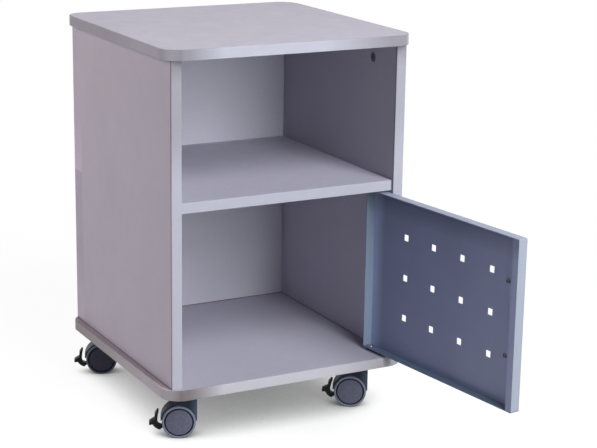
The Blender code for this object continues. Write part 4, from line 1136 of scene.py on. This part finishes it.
def direction(azimuth, elevation):
    """From the cart outwards; azimuth runs from the front towards the right."""
    flat = math.cos(elevation)
    return Vector((math.sin(azimuth) * flat, -math.cos(azimuth) * flat, math.sin(elevation)))


def make_camera():
    azimuth = math.radians(CAMERA_AZIMUTH_DEG)
    back = direction(-azimuth, math.radians(CAMERA_ELEVATION_DEG))
    level = Vector((math.cos(azimuth), -math.sin(azimuth), 0))
    level_up = back.cross(level)
    roll = math.radians(CAMERA_ROLL_DEG)
    right = math.cos(roll) * level + math.sin(roll) * level_up
    up = back.cross(right)
    data = bpy.data.cameras.new("camera")
    data.sensor_width = SENSOR_WIDTH
    data.sensor_fit = "HORIZONTAL"
    data.lens = FOCAL_PIXELS * SENSOR_WIDTH / PICTURE_WIDTH
    data.clip_end = 100
    camera = bpy.data.objects.new("camera", data)
    bpy.context.scene.collection.objects.link(camera)
    place = Matrix((right, up, back)).transposed().to_4x4()
    place.translation = Vector(CAMERA_PLACE)
    camera.matrix_world = place
    bpy.context.scene.camera = camera


# Softboxes: name, azimuth from the front towards the right, elevation, distance, size, colour and power
AIM = Vector((0, 0, 0.3))
SOFTBOXES = (
    ("left_light", -120, 25, 3.0, 1.6, (1.0, 0.87, 0.87), 45),
    ("low_front_light", 10, 15, 3.0, 1.6, (0.95, 1.0, 0.985), 61),
    ("high_front_light", 10, 45, 3.0, 1.6, (0.955, 0.97, 1.0), 64),
    ("right_fill", 100, 25, 3.0, 1.6, (1.0, 1.0, 1.0), 14),
)
AMBIENT = (0.03, 0.03, 0.032)


def make_softbox(name, azimuth_deg, elevation_deg, distance, size, color, power):
    away = direction(math.radians(azimuth_deg), math.radians(elevation_deg))
    data = bpy.data.lights.new(name, "AREA")
    data.shape = "DISK"
    data.size = size
    data.color = color
    data.energy = power
    light = bpy.data.objects.new(name, data)
    bpy.context.scene.collection.objects.link(light)
    light.location = AIM + away * distance
    light.rotation_euler = away.to_track_quat("Z", "Y").to_euler()


def seen_directly(tree):
    """1 for camera, mirror and glass rays, which see the white studio."""
    path = tree.nodes.new("ShaderNodeLightPath")
    total = path.outputs["Is Camera Ray"]
    for name in ("Is Glossy Ray", "Is Transmission Ray"):
        larger = tree.nodes.new("ShaderNodeMath")
        larger.operation = "MAXIMUM"
        tree.links.new(total, larger.inputs[0])
        tree.links.new(path.outputs[name], larger.inputs[1])
        total = larger.outputs[0]
    return total


def make_world():
    world = bpy.data.worlds.new("studio")
    bpy.context.scene.world = world
    world.use_nodes = True
    tree = world.node_tree
    dim = tree.nodes["Background"]
    dim.inputs["Color"].default_value = (*AMBIENT, 1.0)
    white = tree.nodes.new("ShaderNodeBackground")
    white.inputs["Color"].default_value = (1, 1, 1, 1)
    mix = tree.nodes.new("ShaderNodeMixShader")
    tree.links.new(seen_directly(tree), mix.inputs[0])
    tree.links.new(dim.outputs[0], mix.inputs[1])
    tree.links.new(white.outputs[0], mix.inputs[2])
    tree.links.new(mix.outputs[0], tree.nodes["World Output"].inputs["Surface"])


FLOOR_HALF = 12.0
FLOOR_SHEEN = 0.14
FLOOR_GLOW = (0.18, 0.92)
FLOOR_OPEN_AT = 0.55
FLOOR_OPENNESS_REACH = 0.5
FLOOR_CONTACT_REACH = 0.04
FLOOR_CONTACT_OPEN_AT = 0.85
FLOOR_CONTACT_LEVEL = 0.25
FLOOR_BOUNCE = 0.5
FLOOR_FADE = (0.75, 1.3)


def make_floor():
    """White floor that keeps the cart's shadow; further out it is plain white."""
    bm = bmesh.new()
    bmesh.ops.create_grid(bm, x_segments=1, y_segments=1, size=FLOOR_HALF)
    mesh = finish_mesh("floor", bm)
    mat = bpy.data.materials.new("floor")
    mat.use_nodes = True
    tree = mat.node_tree
    tree.nodes.remove(tree.nodes["Principled BSDF"])

    def shader(kind, color, strength=None):
        node = tree.nodes.new(kind)
        node.inputs["Color"].default_value = (color, color, color, 1)
        if strength is not None:
            node.inputs["Strength"].default_value = strength
        return node.outputs[0]

    def mixed(factor, first, second):
        node = tree.nodes.new("ShaderNodeMixShader")
        tree.links.new(factor, node.inputs[0])
        tree.links.new(first, node.inputs[1])
        tree.links.new(second, node.inputs[2])
        return node.outputs[0]

    def openness(reach, open_at, levels):
        """Glow that falls where things stand within reach over the floor."""
        sky = tree.nodes.new("ShaderNodeAmbientOcclusion")
        sky.samples = 16
        sky.inputs["Distance"].default_value = reach
        glow = tree.nodes.new("ShaderNodeMapRange")
        glow.interpolation_type = "SMOOTHSTEP"
        glow.inputs["From Max"].default_value = open_at
        glow.inputs["To Min"].default_value = levels[0]
        glow.inputs["To Max"].default_value = levels[1]
        tree.links.new(sky.outputs["AO"], glow.inputs["Value"])
        return glow.outputs["Result"]

    glow = tree.nodes.new("ShaderNodeMath")
    glow.operation = "MULTIPLY"
    tree.links.new(openness(FLOOR_OPENNESS_REACH, FLOOR_OPEN_AT, FLOOR_GLOW), glow.inputs[0])
    contact = openness(FLOOR_CONTACT_REACH, FLOOR_CONTACT_OPEN_AT, (FLOOR_CONTACT_LEVEL, 1.0))
    tree.links.new(contact, glow.inputs[1])
    shine = tree.nodes.new("ShaderNodeEmission")
    tree.links.new(glow.outputs[0], shine.inputs["Strength"])
    lit = tree.nodes.new("ShaderNodeAddShader")
    tree.links.new(shader("ShaderNodeBsdfDiffuse", FLOOR_SHEEN), lit.inputs[0])
    tree.links.new(shine.outputs[0], lit.inputs[1])
    coord = tree.nodes.new("ShaderNodeTexCoord")
    length = tree.nodes.new("ShaderNodeVectorMath")
    length.operation = "LENGTH"
    tree.links.new(coord.outputs["Object"], length.inputs[0])
    fade = tree.nodes.new("ShaderNodeMapRange")
    fade.interpolation_type = "SMOOTHSTEP"
    fade.inputs["From Min"].default_value = FLOOR_FADE[0]
    fade.inputs["From Max"].default_value = FLOOR_FADE[1]
    tree.links.new(length.outputs["Value"], fade.inputs["Value"])
    shown = mixed(fade.outputs["Result"], lit.outputs[0], shader("ShaderNodeEmission", 1.0, 1.0))
    surface = mixed(seen_directly(tree), shader("ShaderNodeBsdfDiffuse", FLOOR_BOUNCE), shown)
    tree.links.new(surface, tree.nodes["Material Output"].inputs["Surface"])
    mesh.materials.append(mat)
    new_object("floor", mesh)


def main():
    make_camera()
    bpy.context.scene.view_settings.view_transform = "Standard"
    make_materials()
    make_rounded_board("top")
    make_rounded_board("base")
    for side in ("left", "right"):
        make_side(side)
    make_board("back_panel", "back_board")
    make_board("middle_shelf", "shelf_board")
    make_front_band("shelf_edge_band", "shelf_band")
    make_cams()
    dress_dowels()
    place = door_frame()
    make_door(place)
    make_bushes(place)
    for corner in ("front_left", "front_right", "rear_left", "rear_right"):
        make_castor(corner)
    for softbox in SOFTBOXES:
        make_softbox(*softbox)
    make_world()
    make_floor()


main()
